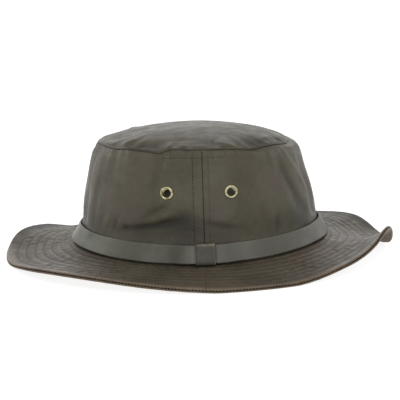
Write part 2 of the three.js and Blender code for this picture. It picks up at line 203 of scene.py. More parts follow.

# Painted highlights and painted shade of the tip, as pale and dark patches: x, y, half length, half
# breadth, turn from the X axis, tone
DOME_PAINTED_LIGHT = (
    (40, -47, 13, 9, 15, -0.08), (-36, -52, 14, 6, 8, -0.1), (-13, -60, 14, 5, 0, 0.3),
    (12, -50, 8, 12, 0, -0.12), (22, -48, 6, 9, -20, 0.35), (-60, -20, 9, 9, 0, 0.25),
    (5, -10, 26, 12, 10, 0.35), (56, -12, 9, 14, 0, -0.12),
)

# Creases of the tip near its seam: x, y, half length, half breadth, turn from the X axis, height
DOME_CREASES = (
    (-65, -21, 9, 5, -60, -0.9), (-54, -44, 8, 3, 30, 0.8), (-37, -56, 14, 6, 0, -1.0),
    (-21, -61, 8, 2, 75, 0.8), (-12, -52, 9, 3, 0, -0.5), (-6, -64, 12, 2, 0, 0.25),
    (12, -59, 9, 2.5, 80, -0.7), (24, -59, 9, 2.5, -22, 0.5), (42, -48, 12, 8, 15, -1.3),
    (54, -34, 8, 2.5, 60, 0.8), (61, -31, 7, 3, 55, -0.7),
)

# How the seam of the tip wanders up and down, in mm, and the height from which the wall follows it
SEAM_DRIFT = Table("at lift", (
    (10, -0.8), (30, 0.6), (50, -0.7), (70, 0.9), (95, 0.5), (115, -1),
    (130, 0.8), (150, -0.6), (170, 0.8), (188, 1.2), (205, 1.2), (218, 0.1),
    (229, 0.8), (237, 0), (244, -0.5), (250.5, -1.5), (257, 1.4), (267.5, 1.2),
    (284, 0.8), (297, 0), (306, -1.3), (313, -0.6), (319, 0.4), (328, 0.3),
    (340.5, -1), (352, -1.1),
), period=360)
SEAM_DRIFT_FOOT = 76

# Domed tip, sewn to the top of the wall: how high its middle and its edge lie over the seam, and
# how fast it falls to the edge. The right side is fuller near its ends, and rolls over gently
# between them. The hollows are x, y, radius and depth; one with a depth below nothing is a swelling
DOME_RISE = 12.8
DOME_EDGE = 0.35
DOME_FULLNESS = 0.8
DOME_FILL = 0.3
DOME_FILL_PACE = 1.2
DOME_SIDE = 270
DOME_SIDE_BREADTH = 38
DOME_HOLLOWS = (
    (-24, 6, 20, 1.1), (21, -34, 15, 1.2), (44, 2, 17, -1.7), (-52, 4, 15, -1.5),
)

# Brim: the oval it is sewn on, and its width from there, with what is tucked under the crown.
# Sections run round from the front: height of the edge above the table, sag under the chord, and
# how much the edge is drawn in
BRIM_LENGTH = 104
BRIM_WIDTH = 86.3
BRIM_SADDLE = 2.6
BRIM_REACH = 59.5
BRIM_TUCK = 3
BRIM_SECTIONS = Table("at edge sag drawn", (
    (0, 3, 1.5, 6.4), (15, 2.6, 1, 6), (30, 8.8, 0, 3.4), (45, 6.9, 0, 1.6),
    (62, 1.4, 0, 0.7), (80, 0.2, 0, 0), (100, 0.2, 0, 0), (120, 0.2, 0.5, 0.4),
    (136, 0.8, 0.8, 1), (150, 8.7, 2, 1.3), (165, 11, 2.5, 2.2), (180, 5.6, 3, 2.8),
    (195, 4, 3, 2.5), (210, 7.4, 2.5, 1.8), (225, 9.8, 1.5, 1.1), (240, 9.1, 0.5, 0.6),
    (255, 5.8, 0, 0.3), (270, 2.4, 0, 0.2), (284, 0.1, 0, 0.5), (300, 2, 0.5, 1),
    (315, 8.2, 2, 1.7), (330, 12, 3.5, 3), (345, 10.4, 3.5, 4.6),
), period=360)

# The pinch in the brim beside the front, and the curl of the edge there: where, how high, half
# breadths in degrees, and how fast it grows outwards
PINCH_ANGLE = 346
PINCH_HEIGHT = 9
PINCH_BREADTHS = (19, 9)
PINCH_POWER = 1.3
CURL_ANGLE = 341
CURL_HEIGHT = 5
CURL_BREADTH = 11
CURL_POWER = 9

# Rows of stitching on the brim, measured from the oval
BRIM_ROWS = tuple(4.5 + 7.6 * i for i in range(7))

# Painted light and shade on the brim, as pale and dark patches: where round the hat, distance out
# from the oval, half breadth in degrees and in mm, and tone
BRIM_PAINTED_LIGHT = (
    (151, 53, 16, 5, -0.35), (268, 24, 15, 13, -0.2), (222, 32, 13, 13, 0.25),
    (340, 24, 22, 22, 0.3), (182, 26, 24, 22, 0.22),
)

# Keeper loop over the right side seam, and the room that the band gives it
KEEPER_ANGLE = 272.4
KEEPER_HALF_ANGLE = 4.1
KEEPER_GAP = 0.4
KEEPER_ROOM = 1.8
KEEPER_REST = 7
KEEPER_EASE = 9

# Eyelets, two on each side of the crown; the turned section is radius and height over the leather
# of the barrel, the inner flange and the outside, which follow the roll
EYELET_HEIGHT = 51
EYELET_X = (-23.6, 26.1)
EYELET_HOLE = 3.6
DRILL_LENGTH = 14
EYELET_SECTION = [
    (3.06, 0.0), (2.95, -0.5), (2.9, -1.4), (2.92, -2.2), (3.05, -2.6),
    (3.3, -2.78), (3.9, -2.82), (4.45, -2.6), (4.6, -2.3), (4.4, -2.0), (3.9, -1.9), (3.4, -1.92),
    (3.28, -1.5), (3.28, -0.2), (3.4, 0.2), (4.2, 0.24), (5.2, 0.2),
]


def cos_of(angle: Array) -> Array:
    """Cosine of an angle in degrees."""
    return np.cos(np.radians(angle))


def sin_of(angle: Array) -> Array:
    """Sine of an angle in degrees."""
    return np.sin(np.radians(angle))


def turn(angle: Array, start: float) -> Array:
    """The nearest way round from start to an angle, in degrees."""
    return np.mod(angle - start + 540, 360) - 180


def smooth(value: Array) -> Array:
    """Eases from 0 to 1 as value runs from 0 to 1."""
    clipped = np.clip(value, 0, 1)
    return clipped * clipped * (3 - 2 * clipped)


def bell(value: Array) -> Array:
    """A rounded bump that is 1 at value 0."""
    return np.exp(-(value**2))


def unit(vectors: Array) -> Array:
    """The vectors, each made one long."""
    return vectors / np.maximum(np.linalg.norm(vectors, axis=-1, keepdims=True), TINY)


def point_of(x: Array, y: Array, z: Array) -> Array:
    """Points from their three coordinates."""
    return np.stack(np.broadcast_arrays(x, y, z), axis=-1)


def outward(angle: Array) -> Array:
    """The level direction at an angle."""
    return point_of(cos_of(angle), sin_of(angle), 0 * angle)


@dataclass(frozen=True)
class Mark:
    """A line or a soft strip: where its middle lies, its half breadth, and how strong it is there."""

    at: float
    breadth: float
    amount: float

    def on(self, place: Array) -> Array:
        """How strong it is at each place."""
        return self.amount * bell((place - self.at) / self.breadth)


@dataclass(frozen=True)
class Fade:
    """Something that is strongest at an edge: how strong, and how far it dies away from there."""

    amount: float
    run: float

    def on(self, distance: Array) -> Array:
        """How strong it is at each distance from the edge."""
        return self.amount * np.exp(-distance / self.run)


@dataclass(frozen=True)
class Slope:
    """An eased step: where it starts, how far it runs, and what it reaches."""

    start: float
    run: float
    amount: float = 1.0

    def on(self, place: Array) -> Array:
        """Its height at each place."""
        return self.amount * smooth((place - self.start) / self.run)


def ring_point(rings: Table, angle: Array, height: Array) -> Array:
    """A point of an oval ring of a wall.

    Args:
        rings: the table of the wall.
        angle: round the hat.
        height: on the crown.

    Returns:
        The points.
    """
    across = rings.at("width", height) * sin_of(angle)
    rise = height + rings.at("saddle", height) * cos_of(2 * angle)
    rise = rise - rings.at("fall", height) * cos_of(angle)
    along = rings.at("shift", height) + rings.at("length", height) * cos_of(angle)
    return point_of(along, across - rise * LEAN, BASE_HEIGHT + rise + across * LEAN)


def seam_line(angle: Array) -> Array:
    """The line at the top of the wall that the tip is sewn on."""
    return ring_point(CROWN_RINGS, angle, SEAM_HEIGHT + 0 * angle)


def patch(across: Array, rise: Array, long: float, broad: float, lean: float) -> Array:
    """A soft patch, 1 in its middle, whose length leans from level by some degrees."""
    cos, sin = math.cos(math.radians(lean)), math.sin(math.radians(lean))
    return bell((across * cos + rise * sin) / long) * bell((rise * cos - across * sin) / broad)


def folds_at(folds: Sequence[Sequence[float]], angle: Array, height: Array) -> Array:
    """The sum of some folds of the wall.

    Args:
        folds: where round the hat, height, half length, half breadth, lean and depth of each.
        angle: round the hat.
        height: on the crown.

    Returns:
        Their depth at each point.
    """
    total = 0 * angle + 0 * height
    for at, level, long, broad, lean, depth in folds:
        across = np.radians(turn(angle, at)) * CROWN_DEPTH
        total = total + depth * patch(across, height - level, long, broad, lean)
    return total


def crown_face(angle: Array, height: Array) -> Array:
    """Outer face of the crown wall, with its folds."""
    fold = folds_at(CROWN_FOLDS, angle, height)[..., None]
    return ring_point(CROWN_RINGS, angle, height) - outward(angle + 0 * height) * fold


def dome_face(angle: Array, radius: Array) -> Array:
    """Upper face of the tip.

    Args:
        angle: round the hat.
        radius: 0 in the middle, 1 at the seam.

    Returns:
        The points.
    """
    middle = seam_line(np.array([0.0, 180.0])).mean(axis=0)
    point = middle + (seam_line(angle) - middle) * radius[..., None]
    hollow = 0 * radius
    for x, y, reach, depth in DOME_HOLLOWS:
        away = np.hypot(point[..., 0] - x, point[..., 1] - y) / reach
        hollow = hollow + depth * bell(away)
    ends = 1 - bell(turn(angle, DOME_SIDE) / DOME_SIDE_BREADTH)
    fullness = DOME_FULLNESS - DOME_FILL * smooth(-sin_of(angle) * DOME_FILL_PACE) * ends
    rise = DOME_RISE * np.maximum(1 - radius**2, 0) ** fullness
    point[..., 2] += GAP + DOME_EDGE + rise - hollow * (1 - radius**4)
    return point


def brim_face(angle: Array, reach: Array) -> Array:
    """The brim, midway between its two plies.

    Args:
        angle: round the hat.
        reach: out from the oval.

    Returns:
        The points.
    """
    cos, sin = cos_of(angle), sin_of(angle)
    out = unit(point_of(cos / BRIM_LENGTH, sin / BRIM_WIDTH, 0 * cos))
    u = np.maximum(reach, 0) / BRIM_REACH
    foot = FOOT_HEIGHT + BRIM_SADDLE * cos_of(2 * angle) + BRIM_WIDTH * sin * LEAN
    away = turn(angle, PINCH_ANGLE)
    pinch = PINCH_HEIGHT * bell(away / np.where(away < 0, *PINCH_BREADTHS)) * u**PINCH_POWER
    curl = CURL_HEIGHT * bell(turn(angle, CURL_ANGLE) / CURL_BREADTH) * u**CURL_POWER
    chord = foot + (BRIM_SECTIONS.at("edge", angle) - foot) * u
    height = chord - 4 * BRIM_SECTIONS.at("sag", angle) * u * (1 - u) + pinch + curl
    lift = height - foot
    drawn = BRIM_SECTIONS.at("drawn", angle) * u + lift**2 / (2 * BRIM_REACH) * u
    point = point_of(BRIM_LENGTH * cos, BRIM_WIDTH * sin, np.maximum(height, HALF_BRIM))
    return point + out * (reach - drawn)[..., None]


def band_face(angle: Array, height: Array) -> Array:
    """Outer face of the band, which stands off where the keeper passes behind it."""
    ease = KEEPER_ROOM * smooth(1 - (np.abs(turn(angle, KEEPER_ANGLE)) - KEEPER_REST) / KEEPER_EASE)
    return ring_point(BAND_RINGS, angle, height) + outward(angle + 0 * height) * ease[..., None]


def normal_of(face: Face, angle: Array, place: Array, level: bool = False) -> Array:
    """Unit normal of a face.

    Args:
        face: the face.
        angle: round the hat.
        place: place on the section.
        level: whether the normal is kept level.

    Returns:
        The normals.
    """
    round_it = face(angle + ANGLE_STEP, place) - face(angle - ANGLE_STEP, place)
    up = face(angle, place + PLACE_STEP) - face(angle, place - PLACE_STEP)
    normal = np.cross(round_it, up)
    if level:
        normal[..., 2] = 0
    return unit(normal)


class Ripples:
    """An irregular ripple round the hat, the same each run."""

    def __init__(self, seed: int, low: int, high: int, count: int, drift: float) -> None:
        """Chooses the waves.

        Args:
            seed: start of the random choice.
            low: fewest waves in a full turn.
            high: most waves in a full turn.
            count: how many waves are added up.
            drift: how fast a wave wanders round along the section, in radians a millimetre.
        """
        chance = np.random.default_rng(seed)
        self.turns = chance.integers(low, high, count)
        self.phase = chance.uniform(0, 2 * np.pi, count)
        self.drift = chance.uniform(-drift, drift, count)

    def at(self, angle: Array, place: Array) -> Array:
        """Height of the ripple, about -1 to 1.

        Args:
            angle: round the hat.
            place: place on the section.

        Returns:
            The heights.
        """
        total = 0 * angle + 0 * place
        for turns, phase, drift in zip(self.turns, self.phase, self.drift):
            total = total + np.sin(turns * np.radians(angle) + phase + drift * place)
        return total / math.sqrt(len(self.turns))


@dataclass(frozen=True)
class Stations:
    """Places across a wall, and how much of the thickness stands at each."""

    place: Array
    share: Array


def rounded(inner: Sequence[float], radius: float, steps: int = 4, both: bool = True) -> Stations:
    """Stations with rounded ends.

    Args:
        inner: places in order, from one edge to the other.
        radius: how far the rounding runs in from an edge.
        steps: stations in each rounding.
        both: whether the first edge is rounded too, and not the last one alone.

    Returns:
        The stations, with nothing left of the thickness at a rounded edge.
    """
    low, high = inner[0], inner[-1]
    bend = np.linspace(0, math.pi / 2, steps + 1)
    run, share = radius * (1 - np.cos(bend)), np.sin(bend)
    middle = [spot for spot in inner if low + radius < spot < high - radius]
    place = np.concatenate((low + run if both else [low], middle, (high - run)[::-1]))
    first = share if both else [1.0]
    return Stations(place, np.concatenate((first, np.ones(len(middle)), share[::-1])))


def mesh_of(name: str, work: bmesh.types.BMesh) -> bpy.types.Mesh:
    """Makes a mesh of worked geometry, and lets the geometry go.

    Args:
        name: name of the mesh.
        work: the geometry.

    Returns:
        The mesh.
    """
    mesh = bpy.data.meshes.new(name)
    work.to_mesh(mesh)
    work.free()
    return mesh


def object_of(name: str, data: bpy.types.ID) -> bpy.types.Object:
    """Puts a mesh, a light or a camera into the scene.

    Args:
        name: name of the object.
        data: what it shows.

    Returns:
        The object.
    """
    made = bpy.data.objects.new(name, data)
    bpy.context.scene.collection.objects.link(made)
    return made


def closed_object(mesh: bpy.types.Mesh, merge: float = 2e-6) -> bpy.types.Object:
    """Merges the doubles of a mesh, turns its faces out, shades it smooth and puts it in place.

    Args:
        mesh: the mesh, which gives its name to the object.
        merge: distance within which vertices are one, in metres.

    Returns:
        The object.
    """
    shell = bmesh.new()
    shell.from_mesh(mesh)
    bmesh.ops.remove_doubles(shell, verts=shell.verts, dist=merge)
    bmesh.ops.recalc_face_normals(shell, faces=shell.faces)
    for face in shell.faces:
        face.smooth = True
    shell.to_mesh(mesh)
    shell.free()
    return object_of(mesh.name, mesh)


@dataclass
class Wall:
    """Two skins of leather that meet at their rounded edges, on a grid of columns and rows.

    The tone runs from -1, dark, to 1, pale, and carries painted shade and painted highlights as well
    as wear and random tone; the depth is the share of the thickness that stands.
    """

    name: str
    front: Array
    back: Array
    tone: Array
    depth: Array

    def build(self, origin: Array) -> bpy.types.Object:
        """Makes the mesh from one grid that is wrapped round the section.

        Args:
            origin: the hat's frame in the row frame, in mm.

        Returns:
            The new object.
        """
        columns, rows = self.front.shape[:2]
        loop = np.concatenate((np.arange(rows), np.arange(rows - 2, -1, -1)))
        is_back = np.arange(len(loop)) >= rows
        grid = bmesh.new()
        bmesh.ops.create_grid(grid, x_segments=columns - 1, y_segments=len(loop) - 1, size=1)
        mesh = mesh_of(self.name, grid)
        flat = np.empty(len(mesh.vertices) * 3)
        mesh.vertices.foreach_get("co", flat)
        spot = (flat.reshape(-1, 3)[:, :2] + 1) / 2
        column = np.rint(spot[:, 0] * (columns - 1)).astype(int)
        step = np.rint(spot[:, 1] * (len(loop) - 1)).astype(int)
        row, behind = loop[step], is_back[step]
        place = np.where(behind[:, None], self.back[column, row], self.front[column, row])
        mesh.vertices.foreach_set("co", ((place + origin) * MM).ravel())
        tone = mesh.attributes.new("tone", "FLOAT", "POINT")
        shade = self.tone[column, row]
        # Painted shade: the back skins darken where the full thickness stands, for the shade inside the
        # hat
        darker = (INSIDE_SHADE - shade) * self.depth[column, row] ** 3
        tone.data.foreach_set("value", shade + np.where(behind, darker, 0))
        return closed_object(mesh)


def skins(face: Face, angle: Array, place: Array, thickness: float, depth: Array,
          relief: Array, level: bool = False) -> tuple[Array, Array]:
    """The two skins of a wall that lies behind its outer face.

    Args:
        face: the face that the wall follows.
        angle: round the hat, for each column and row.
        place: on the section, for each of them.
        thickness: thickness of the leather.
        depth: how much of it stands at each point.
        relief: how far both skins stand proud.
        level: whether the skins are offset level.

    Returns:
        The front skin and the back skin.
    """
    normal = normal_of(face, angle, place, level)
    centre = face(angle, place) - normal * thickness / 2
    half = thickness / 2 * depth
    ahead = centre + normal * (half + relief)[..., None]
    return ahead, centre - normal * (half - relief)[..., None]


def seam_angle(face: Face, place: Array, seam_x: float) -> Array:
    """The angle at which a face crosses one x, for each place on the section.

    Args:
        face: the face.
        place: places on the section.
        seam_x: the x of the seam.

    Returns:
        Angles near 90.
    """
    angle = 90.0 + 0 * place
    for _ in range(SEAM_STEPS):
        short = face(angle, place)[..., 0] - seam_x
        angle = angle + np.degrees(short / face(0 * place, place)[..., 0])
    return angle


def half_angles(face: Face, share: Array, place: Array, is_front: bool) -> Array:
    """Angles of a half that runs from side seam to side seam.

    Args:
        face: the face.
        share: 0 at one seam, 1 at the other.
        place: places on the section.
        is_front: whether it is the front half.

    Returns:
        One angle for each share and place.
    """
    edge = seam_angle(face, place, SIDE_SEAM_X + (-SEAM_LAP if is_front else SEAM_LAP))
    start, end = (-edge, edge) if is_front else (edge, 360 - edge)
    return start[None, :] + (end - start)[None, :] * share[:, None]


@dataclass(frozen=True)
class Pattern:
    """A noise: patterns a metre, how many finer ones lie on it, their strength, and its warp."""

    scale: float
    detail: float = 4
    rough: float = 0.55
    warp: float = 0


class Graph:
    """A material and short ways to add to its node tree."""

    def __init__(self, name: str) -> None:
        """Starts a material with a shader and object coordinates.

        Args:
            name: name of the material.
        """
        self.material = bpy.data.materials.new(name)
        self.material.use_nodes = True
        self.tree = self.material.node_tree
        self.shader = self.tree.nodes["Principled BSDF"]
        self.place = self.tree.nodes.new("ShaderNodeTexCoord").outputs["Object"]

    def fill(self, node: bpy.types.Node, values: dict[str | int, object]) -> None:
        """Joins outputs to inputs of a node, or sets the inputs to plain values.

        Args:
            node: the node.
            values: an output, or a plain value, for each input.
        """
        for key, value in values.items():
            if isinstance(value, bpy.types.NodeSocket):
                self.tree.links.new(value, node.inputs[key])
            else:
                node.inputs[key].default_value = value

    def add(self, kind: str, values: dict[str | int, object], **settings: object) -> bpy.types.Node:
        """Adds a node.

        Args:
            kind: type of the node.
            values: an output, or a plain value, for each input.
            settings: its properties.

        Returns:
            The node.
        """
        node = self.tree.nodes.new(kind)
        for key, value in settings.items():
            setattr(node, key, value)
        self.fill(node, values)
        return node

    def finish(self, values: dict[str, object]) -> bpy.types.Material:
        """Fills the inputs of the shader, and gives the material."""
        self.fill(self.shader, values)
        return self.material

    def noise(self, pattern: Pattern) -> object:
        """A noise pattern."""
        values = {"Vector": self.place, "Scale": pattern.scale, "Detail": pattern.detail,
                  "Roughness": pattern.rough, "Distortion": pattern.warp}
        return self.add("ShaderNodeTexNoise", values).outputs["Fac"]

    def cells(self, scale: float) -> object:
        """Distance to the edges of a pattern of cells; scale is in cells a metre."""
        values = {"Vector": self.place, "Scale": scale}
        return self.add("ShaderNodeTexVoronoi", values, feature="DISTANCE_TO_EDGE").outputs["Distance"]

    def ramp(self, value: object, low: float, high: float, start: float, end: float) -> object:
        """Carries value from the range low..high to start..end, eased and held outside it."""
        values = {"Value": value, "From Min": low, "From Max": high, "To Min": start, "To Max": end}
        return self.add("ShaderNodeMapRange", values, interpolation_type="SMOOTHSTEP").outputs["Result"]

    def math(self, operation: str, first: object, second: object) -> object:
        """One sum on two numbers."""
        return self.add("ShaderNodeMath", {0: first, 1: second}, operation=operation).outputs[0]

    def mix(self, share: object, first: object, second: object) -> object:
        """A mix of two colours."""
        return self.add("ShaderNodeMix", {0: share, 6: first, 7: second}, data_type="RGBA").outputs[2]

    def bump(self, height: object, strength: float, depth: float, below: object = None) -> object:
        """A bump.

        Args:
            height: its height.
            strength: how strongly it shows.
            depth: its depth in metres.
            below: the normal of the bump that it lies on.

        Returns:
            The output that carries the normal.
        """
        values = {"Height": height, "Strength": strength, "Distance": depth}
        if below is not None:
            values["Normal"] = below
        return self.add("ShaderNodeBump", values).outputs["Normal"]


def colour(tint: Tint, share: float = 1.0) -> tuple[float, float, float, float]:
    """A linear colour from a share of the numbers, 0 to 255, that a screen shows."""
    parts = [value * share / 255 for value in tint]
    return (*(part / 12.92 if part <= 0.04045 else ((part + 0.055) / 1.055) ** 2.4 for part in parts), 1)


@dataclass(frozen=True)
class Leather:
    """Oiled leather: a grain, creases, clouds of colour, and a tone that the mesh carries."""

    name: str
    dark: Tint
    light: Tint
    blush: Tint
    worn_and_lit: Tint
    rough: float = 0.4
    shine: float = 0.25
    grain: float = 1.0
    crumple: float = 1.0
    clouds: Pattern = Pattern(24, 3, 0.5, 0.6)
    mottling: Pattern = Pattern(170, 6, 0.62)
    flush: Pattern = Pattern(31, 3, 0.55, 0.4)
    gloss: Pattern = Pattern(95, 5, 0.6)
    crumples: Pattern = Pattern(210, 3, 0.5, 0.8)
    fine: Pattern = Pattern(3200, 2, 0.5)
    pores: float = 1150
    cloud_share: float = 0.62
    shade_share: float = 0.42
    pore_share: float = 0.6

    def make(self) -> bpy.types.Material:
        """Makes the material, which is paler and smoother where its tone is high.

        Returns:
            The material.
        """
        graph = Graph(self.name)
        tone = graph.add("ShaderNodeAttribute", {}, attribute_name="tone").outputs["Fac"]
        cloud = graph.ramp(graph.noise(self.clouds), 0.36, 0.64, 0, 1)
        mottle = graph.ramp(graph.noise(self.mottling), 0.3, 0.7, 0, 1)
        share = graph.math("ADD", graph.math("MULTIPLY", cloud, self.cloud_share),
                           graph.math("MULTIPLY", mottle, 1 - self.cloud_share))
        body = graph.mix(share, colour(self.dark), colour(self.light))
        flush = graph.ramp(graph.noise(self.flush), 0.48, 0.66, 0, 0.6)
        body = graph.mix(flush, body, colour(self.blush))
        # A high tone pales the colour, for wear and for painted highlights, and makes it a little
        # smoother; a low tone darkens it, for painted shade and random tone
        pale = graph.math("MULTIPLY", graph.ramp(tone, 0, 1, 0, 0.75),
                          graph.ramp(mottle, 0, 1, 0.6, 1))
        body = graph.mix(pale, body, colour(self.worn_and_lit))
        deep = graph.ramp(tone, -1, 0, 0.85, 0)
        body = graph.mix(deep, body, colour(self.dark, self.shade_share))
        pores = graph.math("MULTIPLY", graph.ramp(graph.cells(self.pores), 0, 0.12, 0.7, 0), 0.35)
        body = graph.mix(pores, body, colour(self.dark, self.pore_share))
        worn_and_lit = graph.math("MULTIPLY", graph.ramp(tone, 0, 1, 0, 1), -0.08)
        gloss = graph.ramp(graph.noise(self.gloss), 0.3, 0.7, self.rough - 0.07, self.rough + 0.08)
        crumple = graph.bump(graph.noise(self.crumples), 0.35 * self.crumple, 0.0009)
        cells = graph.ramp(graph.cells(self.pores), 0, 0.22, 0, 1)
        grain = graph.bump(cells, 0.35 * self.grain, 0.00018, crumple)
        return graph.finish({
            "Base Color": body,
            "Roughness": graph.math("ADD", gloss, worn_and_lit),
            "Normal": graph.bump(graph.noise(self.fine), 0.25 * self.grain, 0.00008, grain),
            "Specular IOR Level": self.shine,
        })


@dataclass(frozen=True)
class Brass:
    """Antique brass, dulled in patches."""

    name: str = "antique_brass"
    bright: Tint = (204, 197, 158)
    dull: Tint = (112, 103, 68)
    rough: float = 0.3
    stains: Pattern = Pattern(420, 5, 0.6)
    gloss: Pattern = Pattern(900, 4, 0.6)
    scratches: Pattern = Pattern(1400, 3, 0.5)

    def make(self) -> bpy.types.Material:
        """Makes the material.

        Returns:
            The material.
        """
        graph = Graph(self.name)
        stain = graph.ramp(graph.noise(self.stains), 0.42, 0.68, 0, 0.8)
        return graph.finish({
            "Base Color": graph.mix(stain, colour(self.bright), colour(self.dull)),
            "Roughness": graph.ramp(graph.noise(self.gloss), 0.3, 0.7, self.rough, self.rough + 0.16),
            "Normal": graph.bump(graph.noise(self.scratches), 0.2, 0.0001),
            "Metallic": 1.0,
        })


@dataclass(frozen=True)
class Thread:
    """Waxed thread, a little darker than the leather that it holds."""

    name: str
    tint: Tint
    shine: float = 0.2
    shades: Pattern = Pattern(600, 3, 0.6)
    twist: Pattern = Pattern(5200, 2, 0.5, 1.5)

    def make(self) -> bpy.types.Material:
        """Makes the material.

        Returns:
            The material.
        """
        graph = Graph(self.name)
        shade = graph.ramp(graph.noise(self.shades), 0.35, 0.65, 0, 1)
        return graph.finish({
            "Base Color": graph.mix(shade, colour(self.tint), colour(self.tint, 0.72)),
            "Normal": graph.bump(graph.noise(self.twist), 0.5, 0.00012),
            "Roughness": 0.6,
            "Specular IOR Level": self.shine,
        })


class Slot(Enum):
    """Material slots."""

    CROWN = "crown_leather"
    BRIM = "brim_leather"
    BAND = "band_leather"
    EYELET = "eyelet_brass"


def dress(piece: bpy.types.Object, finish: bpy.types.Material, slot: Slot, *nodes: str) -> None:
    """Gives a piece its finish and its body, and hides the CAD nodes that it replaces.

    Args:
        piece: the object.
        finish: its material.
        slot: not used.
        nodes: the CAD nodes that it replaces.
    """
    piece.data.materials.clear()
    piece.data.materials.append(finish)
    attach(piece, BODY)
    if nodes:
        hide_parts(*nodes)
    LOG.info("%s: %d faces", piece.name, len(piece.data.polygons))


@dataclass
class StitchRow:
    """A row of stitches that lies on a skin: its line, and the sizes of one stitch in mm."""

    points: Array
    normals: Array
    pitch: float = 2.9
    length: float = 2.1
    thread: float = 0.34
    sink: float = 0.12

    def matrices(self, origin: Array) -> list[Matrix]:
        """One matrix a stitch: it carries a unit ball to the stitch.

        Args:
            origin: the hat's frame in the row frame, in mm.

        Returns:
            The matrices, in metres.
        """
        steps = np.linalg.norm(np.diff(self.points, axis=0), axis=1)
        run = np.concatenate(([0], np.cumsum(steps)))
        count = max(int(run[-1] / self.pitch), 1)
        size = Matrix.Diagonal((self.length / 2 * MM, self.thread * MM, self.thread * MM, 1))
        found = []
        for spot in (np.arange(count) + 0.5) * run[-1] / count:
            ends = [np.array([np.interp(spot + side * self.length / 2, run, self.points[:, k])
                              for k in range(3)]) for side in (-1, 1)]
            up = np.array([np.interp(spot, run, self.normals[:, k]) for k in range(3)])
            along = unit(ends[1] - ends[0])
            up = unit(up - along * np.dot(up, along))
            centre = ((ends[0] + ends[1]) / 2 - up * self.sink + origin) * MM
            turned = Matrix((along, np.cross(up, along), up)).transposed().to_4x4()
            found.append(Matrix.Translation(Vector(centre)) @ turned @ size)
        return found


def sew(name: str, rows: Sequence[StitchRow], origin: Array) -> bpy.types.Object:
    """Makes one piece of all the stitches of some rows.

    Args:
        name: name of the piece.
        rows: the rows.
        origin: the hat's frame in the row frame, in mm.

    Returns:
        The new object.
    """
    ball = bmesh.new()
    bmesh.ops.create_uvsphere(ball, u_segments=6, v_segments=5, radius=1)
    pattern = mesh_of("stitch", ball)
    whole = bmesh.new()
    for row in rows:
        for matrix in row.matrices(origin):
            stitch = pattern.copy()
            stitch.transform(matrix)
            whole.from_mesh(stitch)
            bpy.data.meshes.remove(stitch)
    bpy.data.meshes.remove(pattern)
    for face in whole.faces:
        face.smooth = True
    return object_of(name, mesh_of(name, whole))


@dataclass(frozen=True)
class Seat:
    """Where an eyelet sits: its name, half of the crown, and place in metres."""

    name: str
    is_front: bool
    matrix: Matrix


